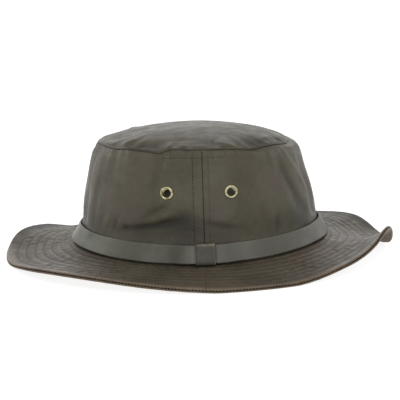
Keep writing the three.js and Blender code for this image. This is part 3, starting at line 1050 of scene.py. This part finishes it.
@dataclass
class Crown:
    """The crown: two wall halves and the domed tip, with their stitching."""

    origin: Array
    finish: bpy.types.Material
    thread: bpy.types.Material
    shadow: bpy.types.Material

    # Ripples that the sewing leaves, strongest at the seam of the tip, and broad dents; the left side
    # has a little less of the fine creases than the right
    pucker: Ripples = field(default_factory=lambda: Ripples(11, 55, 100, 16, 0.1))
    crease: Ripples = field(default_factory=lambda: Ripples(12, 20, 48, 12, 0.06))
    dents: Ripples = field(default_factory=lambda: Ripples(13, 5, 17, 10, 0.07))
    pucker_size: Fade = Fade(0.3, 4.5)
    wall_crease: Fade = Fade(0.45, 11)
    tip_crease: Fade = Fade(0.55, 12)
    dent_size: float = 0.35
    dent_pace: float = 3
    left_share: float = 0.9

    # Level rows of stitches by height, which press in most near the side seams, and upright rows by
    # distance from a side seam, with the fullness of the leather between them
    top_row: Mark = Mark(76.2, 0.8, -0.3)
    foot_row: Mark = Mark(23.6, 0.8, -0.2)
    press: Mark = Mark(0, 42, 0.75)
    seam_rows: tuple[Mark, ...] = (Mark(-7.6, 0.9, -0.14), Mark(4.6, 0.9, -0.14))
    seam_fullness: Mark = Mark(-1.5, 7.5, 0.35)

    # Tones of the wall and of the tip: painted shade in the hollows of the dents and creases and
    # painted highlights on their ridges, painted shadows at the side seams, under the tip's seam,
    # towards the foot and round the tip's rim, and a paler strip under the top seam
    dent_painted_light: float = 0.12
    wall_fold_painted_light: float = 0.4
    tip_fold_painted_light: float = 0.35
    side_shadow: Mark = Mark(0, 0.5, -0.2)
    top_shadow: Fade = Fade(-0.1, 0.5)
    top_wear: Mark = Mark(2.2, 1.6, 0.1)
    foot_shadow: Slope = Slope(42, -20, -0.32)
    rim_shadow: Fade = Fade(-0.1, 0.6)
    rim_shade: Slope = Slope(14, -14, -0.22)

    # The grid of a wall half: length of its arc, and where it is close: near the side seams and over
    # a height. The tip's: radius of its rim, and where it is close
    arc: float = 268.0
    seam_run: float = 14.0
    dense_height: float = 70.0
    close: float = 0.55
    rim: float = 77.0
    rim_run: float = 62.0

    # The tip near its rim: half its thickness there, how far in the ripples are calmed and the
    # seam's wandering is felt, and how much the folds are deepened
    rim_half: float = 0.45
    rim_calm: float = 2.4
    drift_run: float = 7
    fold_size: float = 1.3

    def near_side(self, across: Array) -> Array:
        """How strongly the level rows press into the wall, which is most near the side seams."""
        return 1 - self.press.amount + self.press.on(across)

    def creases(self, angle: Array, height: Array) -> Array:
        """The fine creases of both sides of the wall."""
        turned = folds_at(WALL_CREASES, angle - LEFT_SIDE, height)
        return folds_at(WALL_CREASES, angle, height) + self.left_share * turned

    def wall_relief(self, angle: Array, height: Array, across: Array) -> Array:
        """How far the wall's outer skin stands proud.

        Args:
            angle: round the hat.
            height: on the crown.
            across: distance from the side seam, positive to the front.

        Returns:
            The relief in mm.
        """
        top = SEAM_HEIGHT - height
        relief = self.pucker_size.on(top) * self.pucker.at(angle, height)
        relief = relief + self.wall_crease.on(top) * self.crease.at(angle, height)
        relief = relief + self.dent_size * self.dents.at(angle, height * self.dent_pace)
        level = self.top_row.on(height) + self.foot_row.on(height)
        relief = relief + level * self.near_side(across)
        for upright in (*self.seam_rows, self.seam_fullness):
            relief = relief + upright.on(across)
        return relief + self.creases(angle, height)

    def wall_grid(self) -> tuple[Stations, Stations]:
        """The grid of a wall half.

        Returns:
            Its columns, as places along the arc, and its rows, as heights.
        """
        lower = list(np.arange(13.5, self.dense_height, 1.5))
        upper = list(np.arange(self.dense_height, SEAM_HEIGHT, self.close))
        rows = WALL_FOOT_ROWS + lower + upper + [SEAM_HEIGHT + 0.1]
        near = np.arange(0, self.seam_run, self.close)
        far = np.linspace(self.seam_run, self.arc - self.seam_run, 190)
        columns = list(near) + list(far) + list(self.arc - near[::-1])
        return rounded(columns, 0.25), rounded(rows, WALL / 2)

    def wall(self, is_front: bool) -> bpy.types.Object:
        """One half of the wall.

        Args:
            is_front: whether it is the front half.

        Returns:
            The half.
        """
        columns, rows = self.wall_grid()
        angle = half_angles(crown_face, columns.place / self.arc, rows.place, is_front)
        height = rows.place[None, :] + 0 * angle
        depth = np.outer(columns.share, rows.share)
        from_seam = np.minimum(columns.place, self.arc - columns.place)[:, None] + 0 * angle
        across = from_seam if is_front else -from_seam
        relief = self.wall_relief(angle, height, across) * depth
        front, back = skins(crown_face, angle, height, WALL, depth, relief, level=True)
        lift = self.seam_lift(angle, height)
        front[..., 2] += lift
        back[..., 2] += lift
        top = SEAM_HEIGHT - height
        # Painted shade in the hollows of the dents and creases, painted highlights on their ridges,
        # painted shadows at the side seam, under the tip's seam and towards the foot, and a paler strip
        # under the top seam
        tone = self.dent_painted_light * self.dents.at(angle, height * self.dent_pace)
        tone = tone + self.wall_fold_painted_light * self.creases(angle, height)
        tone = tone + self.side_shadow.on(from_seam) + self.top_shadow.on(top)
        tone = tone + self.top_wear.on(top) + self.foot_shadow.on(height)
        name = f"crown_wall_{'front' if is_front else 'back'}"
        return Wall(name, front, back, tone, depth).build(self.origin)

    def seam_lift(self, angle: Array, height: Array) -> Array:
        """How far the top of the wall is lifted to the wandering seam of the tip."""
        share = smooth((height - SEAM_DRIFT_FOOT) / (SEAM_HEIGHT - SEAM_DRIFT_FOOT))
        return SEAM_DRIFT.at("lift", angle) * share

    def row_on_wall(self, angle: Array, height: Array, **sizes: float) -> StitchRow:
        """A row of stitches along a line on the wall, which follows its relief.

        Args:
            angle: round the hat.
            height: on the crown.
            sizes: sizes of a stitch.

        Returns:
            The row.
        """
        normal = normal_of(crown_face, angle, height, level=True)
        away = np.where(sin_of(angle) > 0, turn(angle, 90), turn(angle, 270))
        across = np.abs(np.radians(away)) * CROWN_DEPTH * np.sign(cos_of(angle))
        points = crown_face(angle, height)
        points = points + normal * self.wall_relief(angle, height, across)[:, None]
        points[:, 2] += self.seam_lift(angle, height)
        return StitchRow(points, normal, **sizes)

    def stitch_rows(self) -> list[StitchRow]:
        """The rows that hold the wall: beside the side seams, above the band, under the tip.

        Returns:
            The rows.
        """
        rows = []
        height = np.linspace(14.5, 78.5, 60)
        for seam in self.seam_rows:
            angle = seam_angle(crown_face, height, SIDE_SEAM_X + seam.at)
            thread = 0.42 if seam.at < 0 else 0.3
            for side in (angle, 360 - angle):
                rows.append(self.row_on_wall(side, height, sink=0.05, pitch=2.3, length=1.2,
                                             thread=thread))
        for side_angle in (90, 270):
            for row, before, after, count, sink in (
                (self.foot_row, 13, 11, 60, 0.15),
                (self.top_row, 19, 15, 80, 0.1),
            ):
                part = np.linspace(side_angle - before, side_angle + after, count)
                rows.append(self.row_on_wall(part, row.at + 0 * part, sink=sink, length=1.7))
        return rows

    def needle_rows(self) -> list[StitchRow]:
        """Dark beads of painted shade for the needle holes in the grooves of the side seams and of the
        tip's seam.

        Returns:
            The rows.
        """
        height = np.linspace(14.2, 79.6, 60)
        edge = seam_angle(crown_face, height, SIDE_SEAM_X)
        rows = [self.row_on_wall(side, height, pitch=1.8, length=1.0, thread=0.72, sink=0.0)
                for side in (edge, 360 - edge)]
        points = crown_face(ROUND, SEAM_HEIGHT + 0 * ROUND)
        points[:, 2] += SEAM_DRIFT.at("lift", ROUND) + GAP
        rows.append(StitchRow(points, outward(ROUND), pitch=2.1, length=1.1, thread=0.3, sink=0.2))
        return rows

    def patches(self, top: Array, table: Sequence[Sequence[float]]) -> Array:
        """The sum of some soft patches of the tip, which the other side has half a turn on.

        Args:
            top: points of the tip.
            table: x, y, half length, half breadth, turn and height of each patch.

        Returns:
            Their height at each point.
        """
        total = 0 * top[..., 0]
        for x, y, long, broad, lean, height in table:
            for side in (1, -1):
                total = total + height * patch(top[..., 0] - side * x, top[..., 1] - side * y,
                                               long, broad, lean)
        return total

    def tip(self) -> bpy.types.Object:
        """The domed tip, closed in the middle.

        Returns:
            The tip.
        """
        inner = [0, 1.5, 4, 7] + list(np.arange(10, self.rim_run, 2.5))
        inner += list(np.arange(self.rim_run, self.rim, 0.6)) + [self.rim]
        rows = rounded(inner, 0.8, 5, both=False)
        angle, radius = np.meshgrid(np.linspace(0, 360, 421), rows.place / self.rim, indexing="ij")
        edge = (1 - radius) * self.rim
        half = self.rim_half + (WALL / 2 - self.rim_half) * np.minimum(edge / WALL, 1)
        top = dome_face(angle, radius)
        fold = self.patches(top, DOME_CREASES)
        relief = self.pucker_size.on(edge) * self.pucker.at(angle + 3, edge)
        relief = relief + self.tip_crease.on(edge) * self.crease.at(angle + 5, edge)
        relief = (relief + self.fold_size * fold) * (1 - bell(edge / self.rim_calm))
        share = rows.share[None, :] + 0 * angle
        front, back = top.copy(), top.copy()
        drift = SEAM_DRIFT.at("lift", angle) * np.exp(-edge / self.drift_run)
        middle = top[..., 2] + relief - half + drift
        front[..., 2] = middle + half * share
        back[..., 2] = middle - half * share
        # Painted shade round the rim and in the creases, painted highlights on the creases' ridges, and
        # patches of painted light and shade
        tone = self.rim_shadow.on(edge) + self.rim_shade.on(edge)
        tone = tone + self.tip_fold_painted_light * fold + self.patches(top, DOME_PAINTED_LIGHT)
        return Wall("crown_dome", front, back, tone, share).build(self.origin)

    def build(self, seats: Sequence[Seat]) -> None:
        """Builds the crown and drills it for the eyelets.

        Args:
            seats: where the eyelets sit.
        """
        for is_front in (True, False):
            half = self.wall(is_front)
            for seat in seats:
                if seat.is_front == is_front:
                    drill(half, seat)
            dress(half, self.finish, Slot.CROWN, f"crown_{'front' if is_front else 'back'}")
        dress(self.tip(), self.finish, Slot.CROWN, "crown_tip")
        for name, rows, finish in (
            ("crown_stitches", self.stitch_rows(), self.thread),
            ("crown_needle_hole_shade", self.needle_rows(), self.shadow),
        ):
            dress(sew(name, rows, self.origin), finish, Slot.CROWN)


def eyelet_seats(origin: Array) -> list[Seat]:
    """The four seats of the eyelets.

    Args:
        origin: the hat's frame in the row frame, in mm.

    Returns:
        The seats; the matrix's Z points out of the wall.
    """
    seats = []
    length = float(CROWN_RINGS.at("length", np.array(EYELET_HEIGHT)))
    for side in (1, -1):
        for x in EYELET_X:
            angle = np.array([side * math.degrees(math.acos(x / length))])
            height = np.array([float(EYELET_HEIGHT)])
            point = (crown_face(angle, height)[0] + origin) * MM
            normal = Vector(normal_of(crown_face, angle, height)[0])
            turned = Vector((0, 0, 1)).rotation_difference(normal).to_matrix().to_4x4()
            name = f"eyelet_{'left' if side > 0 else 'right'}_{'front' if x > 0 else 'back'}"
            seats.append(Seat(name, x > SIDE_SEAM_X, Matrix.Translation(Vector(point)) @ turned))
    return seats


def drill(piece: bpy.types.Object, seat: Seat) -> None:
    """Cuts the hole of an eyelet through a wall.

    Args:
        piece: the wall.
        seat: where the hole goes.
    """
    tool = bmesh.new()
    bmesh.ops.create_cone(tool, cap_ends=True, segments=32, radius1=EYELET_HOLE * MM,
                          radius2=EYELET_HOLE * MM, depth=DRILL_LENGTH * MM, matrix=seat.matrix)
    mesh = mesh_of("drill", tool)
    cutter = object_of("drill", mesh)
    cut = piece.modifiers.new("hole", "BOOLEAN")
    cut.operation = "DIFFERENCE"
    cut.solver = "EXACT"
    cut.object = cutter
    bpy.context.view_layer.update()
    whole = piece.evaluated_get(bpy.context.evaluated_depsgraph_get())
    drilled = bpy.data.meshes.new_from_object(whole)
    piece.modifiers.clear()
    piece.data = drilled
    bpy.data.objects.remove(cutter)
    bpy.data.meshes.remove(mesh)


@dataclass
class Eyelets:
    """Turned brass eyelets: a rolled flange outside, a barrel and a small flange inside."""

    finish: bpy.types.Material
    segments: int = 40
    roll_steps: int = 12
    roll_radius: float = 4.25
    roll_half: float = 0.95
    roll_lift: float = 0.28
    roll_power: float = 0.85

    def section(self) -> list[tuple[float, float]]:
        """The turned section: the roll, and then the barrel, the inner flange and the outside.

        Returns:
            Radius and height over the leather, in mm, as a closed loop.
        """
        roll = []
        for i in range(self.roll_steps + 1):
            bend = math.pi * i / self.roll_steps
            lift = self.roll_half * math.sin(bend) ** self.roll_power
            roll.append((self.roll_radius + self.roll_half * math.cos(bend), self.roll_lift + lift))
        return roll + EYELET_SECTION

    def build(self, seats: Sequence[Seat]) -> None:
        """Builds each eyelet.

        Args:
            seats: where they sit.
        """
        for seat in seats:
            body = bmesh.new()
            line = [body.verts.new((radius * MM, 0, height * MM)) for radius, height in self.section()]
            edges = [body.edges.new(pair) for pair in zip(line, line[1:] + line[:1])]
            bmesh.ops.spin(body, geom=line + edges, cent=(0, 0, 0), axis=(0, 0, 1), dvec=(0, 0, 0),
                           angle=2 * math.pi, steps=self.segments, use_merge=True,
                           use_duplicate=False)
            bmesh.ops.transform(body, matrix=seat.matrix, verts=body.verts)
            made = closed_object(mesh_of(f"brass_{seat.name}", body), 1e-6)
            dress(made, self.finish, Slot.EYELET, seat.name)


@dataclass
class Brim:
    """The brim: two upper halves and an under ply, sewn together in rows."""

    origin: Array
    finish: bpy.types.Material
    under_finish: bpy.types.Material
    thread: bpy.types.Material
    shadow: bpy.types.Material

    # The leather swells between the rows and puckers there, less so towards the border; the border
    # is puffed, and turns up on the left side
    pucker: Ripples = field(default_factory=lambda: Ripples(21, 50, 120, 18, 0.35))
    wave: Ripples = field(default_factory=lambda: Ripples(22, 5, 26, 14, 0.2))
    quilt: float = 0.42
    pucker_size: float = 0.24
    pucker_turn: float = 41
    wave_size: float = 0.1
    under_turn: float = 77
    groove: Mark = Mark(0, 0.8, -0.3)
    swell: Slope = Slope(0, 3.6)
    calm: Slope = Slope(44, 10, 0.85)
    puff_start: Slope = Slope(51.5, 3, 0.35)
    puff_end: Slope = Slope(BRIM_REACH + 0.6, -2)
    foot: Slope = Slope(0, 3)
    border: float = 51
    left: Slope = Slope(0, 0.35)
    left_upturn: float = 1.7

    # Half of what a ply is thicker than its leather, half of the parting between the plies, and how
    # far the thread lies over them
    spare: float = 0.06
    parting: float = 0.02
    thread_lift: float = 0.14

    # The edge stitches show along the near edge and lie deeper elsewhere
    near: Slope = Slope(-0.32, -0.3)
    edge_lift: float = 0.55
    edge_sink: float = 0.4

    # Tones: a painted shadow in the rows, random tone between them, a paler border all round, the
    # painted shade that the left side's border adds to that, painted highlights on the very edge of the
    # right side and of the left side, and a paler edge on the under ply
    row_shadow: Mark = Mark(0, 0.7, -0.35)
    wave_tone: float = 0.12
    border_tones: tuple[float, float] = (0.35, -1.1)
    edge_highlights: tuple[Mark, ...] = (Mark(58.4, 1, 0.45), Mark(BRIM_REACH, 0.5, 1.1))
    under_edge_pale: Mark = Mark(BRIM_REACH, 1, 0.5)

    def stations(self) -> Stations:
        """Places from the oval to the edge, close together at each row of stitches.

        Returns:
            The stations.
        """
        spots = [-float(BRIM_TUCK), -1.0, 0.6, 1.8]
        for row in BRIM_ROWS:
            spots += [row + away for away in (-2.4, -1.5, -0.9, -0.45, 0, 0.45, 0.9, 1.5, 2.4, 3.8)]
        spots = spots[:-1] + [53.5, 54.6, 55.6, 56.6, 57.6, 58.3, BRIM_REACH]
        return rounded(sorted(spots), 0.9)

    def from_row(self, reach: Array) -> Array:
        """Distance to the nearest row of stitches."""
        return np.min([np.abs(reach - row) for row in BRIM_ROWS], axis=0)

    def relief(self, angle: Array, reach: Array, seed_turn: float) -> Array:
        """How far a skin of the brim stands proud.

        Args:
            angle: round the hat.
            reach: out from the oval.
            seed_turn: turns the ripples, so that the two plies differ.

        Returns:
            The relief in mm.
        """
        swell = self.swell.on(self.from_row(reach))
        channel = np.floor((reach - BRIM_ROWS[0]) / (BRIM_ROWS[1] - BRIM_ROWS[0]))
        turned = angle + seed_turn
        relief = self.quilt * (swell - 0.5)
        relief = relief + self.pucker_size * self.pucker.at(turned, self.pucker_turn * channel) * swell
        relief = relief + self.wave_size * self.wave.at(turned, reach)
        relief = relief * (1 - self.calm.on(reach)) + self.groove.on(self.from_row(reach))
        return (relief + self.puff_start.on(reach) * self.puff_end.on(reach)) * self.foot.on(reach)

    def upturn(self, angle: Array, reach: Array) -> Array:
        """How far the border of the left side turns up, in mm."""
        out = np.maximum((reach - self.border) / (BRIM_REACH - self.border), 0)
        return self.left_upturn * self.left.on(sin_of(angle)) * out**2

    def tone(self, angle: Array, reach: Array, upper: bool) -> Array:
        """The tone of a ply.

        Args:
            angle: round the hat.
            reach: out from the oval.
            upper: whether it is the upper ply.

        Returns:
            The tone at each point.
        """
        nearest = self.from_row(reach)
        left = self.left.on(sin_of(angle))
        all_round, left_border_shade = self.border_tones
        right_edge_highlight, left_edge_highlight = self.edge_highlights
        # Painted shadow in the rows, painted shade on the left side's border and painted highlights on
        # the edge
        tone = self.row_shadow.on(nearest)
        tone = tone + (all_round + left_border_shade * left) * smooth((reach - self.border) / 3)
        tone = tone + self.wave_tone * self.wave.at(angle + 9, reach) * smooth(nearest / 3)
        tone = tone + right_edge_highlight.on(reach) * (1 - left) + left_edge_highlight.on(reach) * left
        # Patches of painted light and painted shade
        for at, place, broad, deep, shade in BRIM_PAINTED_LIGHT:
            tone = tone + shade * bell(turn(angle, at) / broad) * bell((reach - place) / deep)
        return tone if upper else tone + self.under_edge_pale.on(reach)

    def ply(self, name: str, angle: Array, rows: Stations, ends: Array, upper: bool) -> Wall:
        """One ply of the brim.

        Args:
            name: name of the piece.
            angle: one angle for each column and row.
            rows: the stations on the section.
            ends: how much of the thickness stands at each column.
            upper: whether it is the upper ply.

        Returns:
            The wall.
        """
        reach = rows.place[None, :] + 0 * angle
        depth = np.outer(ends, rows.share)
        relief = self.relief(angle, reach, 0 if upper else self.under_turn) * depth
        # The brim's own normal points down
        out = normal_of(brim_face, angle, reach) * (-1 if upper else 1)
        half = PLY / 2 + self.spare
        centre = brim_face(angle, reach) + out * (half + self.parting)
        shown = centre + out * (half * depth + relief)[..., None]
        inside = centre - out * (half * depth)[..., None]
        for skin in (shown, inside):
            skin[..., 2] = np.maximum(skin[..., 2], 0.0) + self.upturn(angle, reach)
        return Wall(name, shown, inside, self.tone(angle, reach, upper), depth)

    def build(self) -> None:
        """Builds the plies and their stitching."""
        rows = self.stations()
        columns = rounded(list(np.linspace(0, 360, 300)), 0.3, 3)
        for is_front in (True, False):
            angle = half_angles(brim_face, columns.place / 360, rows.place, is_front)
            label = "front" if is_front else "back"
            half = self.ply(f"brim_top_{label}", angle, rows, columns.share, True)
            dress(half.build(self.origin), self.finish, Slot.BRIM, f"brim_upper_{label}")
        around = np.linspace(0, 360, 521)
        angle = around[:, None] + 0 * rows.place[None, :]
        under = self.ply("brim_base", angle, rows, np.ones(len(around)), False)
        dress(under.build(self.origin), self.under_finish, Slot.BRIM, "brim_under")
        dress(sew("brim_edge_stitch_shade", [self.edge_row()], self.origin), self.shadow, Slot.BRIM)
        for label, upper in (("top", True), ("under", False)):
            lines = [self.row(reach, upper) for reach in BRIM_ROWS]
            stitches = sew(f"brim_stitches_{label}", lines, self.origin)
            dress(stitches, self.thread, Slot.BRIM)

    def edge_row(self) -> StitchRow:
        """The row that closes the edge, in the groove between the plies, drawn as dark beads of painted
        shade.

        Returns:
            The row.
        """
        place = BRIM_REACH + 0 * ROUND
        points = brim_face(ROUND, place)
        near = self.near.on(sin_of(ROUND))
        out = unit(brim_face(ROUND, place + 1) - points)
        points = points - out * (self.edge_sink * (1 - near))[:, None]
        points[:, 2] += self.upturn(ROUND, place) + self.edge_lift * near
        return StitchRow(points, out, pitch=2.5, length=1.5, thread=0.5, sink=0.0)

    def row(self, reach: float, upper: bool) -> StitchRow:
        """A row of stitches in its groove.

        Args:
            reach: out from the oval.
            upper: whether it lies on the upper ply.

        Returns:
            The row.
        """
        place = reach + 0 * ROUND
        normal = normal_of(brim_face, ROUND, place) * (-1 if upper else 1)
        height = PLY + self.thread_lift + self.relief(ROUND, place, 0 if upper else self.under_turn)
        points = brim_face(ROUND, place) + normal * height[:, None]
        points[:, 2] = np.maximum(points[:, 2], 0.25)
        return StitchRow(points, normal, sink=0.16)


@dataclass
class Band:
    """The band round the foot of the crown, and its keeper."""

    origin: Array
    finish: bpy.types.Material
    loop_finish: bpy.types.Material
    wave: Ripples = field(default_factory=lambda: Ripples(31, 6, 22, 10, 0.05))
    wave_size: float = 0.12
    wave_tone: float = 0.25
    edge_wear: Mark = Mark(0, 0.9, 0.15)
    keeper_shadow: Mark = Mark(0.35, 0.45, -0.8)
    # Painted highlights at two places round the band
    highlights: tuple[Mark, ...] = (Mark(184, 9, 0.9), Mark(344, 12, 0.35))

    # The keeper's section is a long loop with tight ends; its front edge and the turn at its top get
    # painted highlights, and its back edge painted shade
    loop_power: float = 0.42
    loop_edge_light: tuple[Mark, ...] = (Mark(1, 0.14, 0.6), Mark(-1, 0.12, -0.5))
    loop_top_highlight: Mark = Mark(math.pi / 4, 0.3, 0.8)

    def build(self) -> None:
        """Builds the band and the keeper."""
        rows = rounded(list(np.linspace(BAND_FOOT, BAND_TOP, 16)), 0.7, 5)
        angle, height = np.meshgrid(np.linspace(0, 360, 481), rows.place, indexing="ij")
        share = rows.share[None, :] + 0 * angle
        relief = self.wave_size * self.wave.at(angle, height) * share
        front, back = skins(band_face, angle, height, BAND_THICKNESS, share, relief)
        edge = np.minimum(height - BAND_FOOT, BAND_TOP - height)
        beside = np.abs(turn(angle, KEEPER_ANGLE)) - KEEPER_HALF_ANGLE
        tone = self.edge_wear.on(edge) + self.wave_tone * self.wave.at(angle + 40, height)
        tone = tone + self.keeper_shadow.on(beside)
        for highlight in self.highlights:
            tone = tone + highlight.on(highlight.at + turn(angle, highlight.at))
        strap = Wall("hat_strap", front, back, tone, share).build(self.origin)
        dress(strap, self.finish, Slot.BAND, "hat_band")
        dress(self.keeper(), self.loop_finish, Slot.BAND, "band_keeper")

    def keeper(self) -> bpy.types.Object:
        """The keeper: a strap whose two ends meet behind the band.

        Returns:
            The keeper.
        """
        rows = rounded(list(np.linspace(-1, 1, 15)), 0.07)
        angle = KEEPER_ANGLE + KEEPER_HALF_ANGLE * rows.place
        low, high = BAND_FOOT + 0 * angle, BAND_TOP + 0 * angle
        bottom, top = band_face(angle, low), band_face(angle, high)
        out = normal_of(band_face, angle, (low + high) / 2)
        bend = np.linspace(0, 2 * np.pi, 97)
        cos, sin = np.cos(bend)[:, None, None], np.sin(bend)[:, None, None]
        grow = KEEPER_GAP + KEEPER_THICKNESS / 2
        tall = np.linalg.norm(top - bottom, axis=-1, keepdims=True) / 2 + grow
        thick = BAND_THICKNESS / 2 + grow
        lift = np.sign(sin) * np.abs(sin) ** self.loop_power * tall
        away = np.sign(cos) * np.abs(cos) ** self.loop_power * thick - BAND_THICKNESS / 2
        centre = (bottom + top) / 2 + out * away + unit(top - bottom) * lift
        along = np.gradient(centre, axis=0)
        along[0] = along[-1] = centre[1] - centre[-2]
        normal = unit(np.cross(np.gradient(centre, axis=1), along))
        outside = np.sum(normal * (centre - centre.mean(axis=0, keepdims=True)), axis=-1).mean()
        normal = normal * (1 if outside > 0 else -1)
        half = (KEEPER_THICKNESS / 2 * rows.share)[None, :, None]
        # Painted highlights and painted shade on the keeper's edges and the turn at its top
        worn_and_lit = sum(mark.on(rows.place) for mark in self.loop_edge_light)
        tone = worn_and_lit[None, :] + self.loop_top_highlight.on(bend)[:, None]
        share = rows.share[None, :] + 0 * tone
        wall = Wall("keeper_loop", centre + normal * half, centre - normal * half, tone, share)
        return wall.build(self.origin)


@dataclass(frozen=True)
class Lamp:
    """A square soft light: its name, place and side in metres, and its power in watts."""

    name: str
    place: tuple[float, float, float]
    side: float
    power: float


@dataclass(frozen=True)
class Studio:
    """A pale floor, soft light and the camera of the picture."""

    origin: Array
    roll: float = math.radians(1.8)
    pitch: float = math.radians(11.494)
    place: tuple[float, float, float] = (-0.41, -1130.7, 259.6)
    lens: float = 126.0
    sensor: float = 36.0
    aim: tuple[float, float, float] = (0, 0, 0.05)
    lamps: tuple[Lamp, ...] = (
        Lamp("back_light", (0, 2.2, 1.0), 2.0, 9),
        Lamp("left_light", (-1.1, 0.5, 0.6), 0.6, 4),
        Lamp("right_light", (1.1, 0.45, 0.6), 0.6, 3),
        Lamp("front_light", (0, -1.6, 1.35), 0.9, 12),
    )
    floor_radius: float = 20.0
    floor_drop: float = 0.0003
    floor_tint: tuple[float, ...] = (0.3, 0.3, 0.298, 1)
    floor_glow: float = 0.88
    sky: float = 0.6

    def camera(self) -> None:
        """Sets the camera: the hat's base plane leans and rolls a little against it."""
        data = bpy.data.cameras.new("camera")
        data.lens = self.lens
        data.sensor_width = self.sensor
        data.clip_start = 0.05
        look = Matrix.Rotation(math.pi / 2 - self.pitch, 4, "X")
        view = Matrix.Translation(Vector(self.place)) @ look
        level = Matrix.Rotation(self.roll, 4, "Y")
        lean = Matrix.Rotation(LEAN, 4, "X")
        shift = Matrix.Translation(Vector(self.origin) + Vector((0, 0, BASE_HEIGHT)))
        whole = shift @ lean @ level @ view
        whole.translation = whole.translation * MM
        made = object_of("camera", data)
        made.matrix_world = whole
        bpy.context.scene.camera = made

    def light(self, lamp: Lamp) -> None:
        """Sets up a light that faces the hat.

        Args:
            lamp: the light.
        """
        data = bpy.data.lights.new(lamp.name, "AREA")
        data.size = lamp.side
        data.energy = lamp.power
        away = Vector(self.aim) - Vector(lamp.place)
        turned = away.to_track_quat("-Z", "Y").to_matrix().to_4x4()
        object_of(lamp.name, data).matrix_world = Matrix.Translation(lamp.place) @ turned

    def floor(self) -> None:
        """Lays a plain pale floor."""
        plain = bmesh.new()
        bmesh.ops.create_circle(plain, cap_ends=True, segments=96, radius=self.floor_radius)
        bmesh.ops.translate(plain, verts=plain.verts, vec=(0, 0, -self.floor_drop))
        mesh = mesh_of("floor", plain)
        mesh.materials.append(Graph("pale_floor").finish({
            "Base Color": self.floor_tint,
            "Roughness": 0.9,
            "Emission Color": (1, 1, 1, 1),
            "Emission Strength": self.floor_glow,
        }))
        object_of("floor", mesh)

    def build(self) -> None:
        """Sets the floor, the camera, the lights and the world."""
        self.floor()
        self.camera()
        for lamp in self.lamps:
            self.light(lamp)
        world = bpy.data.worlds.new("studio")
        world.use_nodes = True
        back = world.node_tree.nodes["Background"]
        back.inputs["Color"].default_value = (1, 1, 1, 1)
        back.inputs["Strength"].default_value = self.sky
        bpy.context.scene.world = world
        bpy.context.scene.view_settings.view_transform = "Standard"


def hat_origin() -> Array:
    """Finds where the hat's own frame lies, from the box of the tip.

    Returns:
        Its origin in the row frame, in mm.
    """
    low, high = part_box("crown_tip")
    ends, sides = seam_line(np.array([0.0, 180.0])), seam_line(np.array([90.0, 270.0]))
    return np.array([
        (low[0] + high[0]) / 2 / MM - ends[:, 0].mean(),
        (low[1] + high[1]) / 2 / MM - sides[:, 1].mean(),
        0.0,
    ])


def main() -> None:
    """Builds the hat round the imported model."""
    logging.basicConfig(level=logging.INFO, format="%(relativeCreated)d %(name)s: %(message)s")
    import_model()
    origin = hat_origin()
    LOG.info("origin %s", origin)
    smooth_leather = {"rough": 0.42, "grain": 0.4, "crumple": 0.3}
    crown_leather = Leather("oiled_leather", dark=(70, 66, 53), light=(86, 82, 68),
                            blush=(85, 76, 68), worn_and_lit=(122, 115, 102)).make()
    brim_leather = Leather("brim_leather", dark=(67, 61, 49), light=(86, 78, 65),
                           blush=(87, 75, 63), worn_and_lit=(136, 117, 98)).make()
    under_leather = Leather("under_leather", dark=(66, 53, 40), light=(80, 66, 52),
                            blush=(76, 61, 47), worn_and_lit=(122, 108, 91), rough=0.55, shine=0.1).make()
    band_leather = Leather("band_leather", dark=(87, 87, 76), light=(100, 100, 90),
                           blush=(95, 93, 89), worn_and_lit=(138, 131, 118), **smooth_leather).make()
    keeper_leather = Leather("keeper_leather", dark=(54, 54, 42), light=(66, 66, 53),
                             blush=(60, 60, 48), worn_and_lit=(134, 128, 106), **smooth_leather).make()
    thread = Thread("dark_thread", (44, 40, 33)).make()
    # Dark beads of painted shade, for the shade in the needle holes and in the groove of the brim's edge
    shadow = Thread("needle_hole_shade", (17, 15, 12), shine=0.1).make()
    seats = eyelet_seats(origin)
    Crown(origin, crown_leather, thread, shadow).build(seats)
    Eyelets(Brass().make()).build(seats)
    Brim(origin, brim_leather, under_leather, thread, shadow).build()
    Band(origin, band_leather, keeper_leather).build()
    Studio(origin).build()


if __name__ == "__main__":
    main()
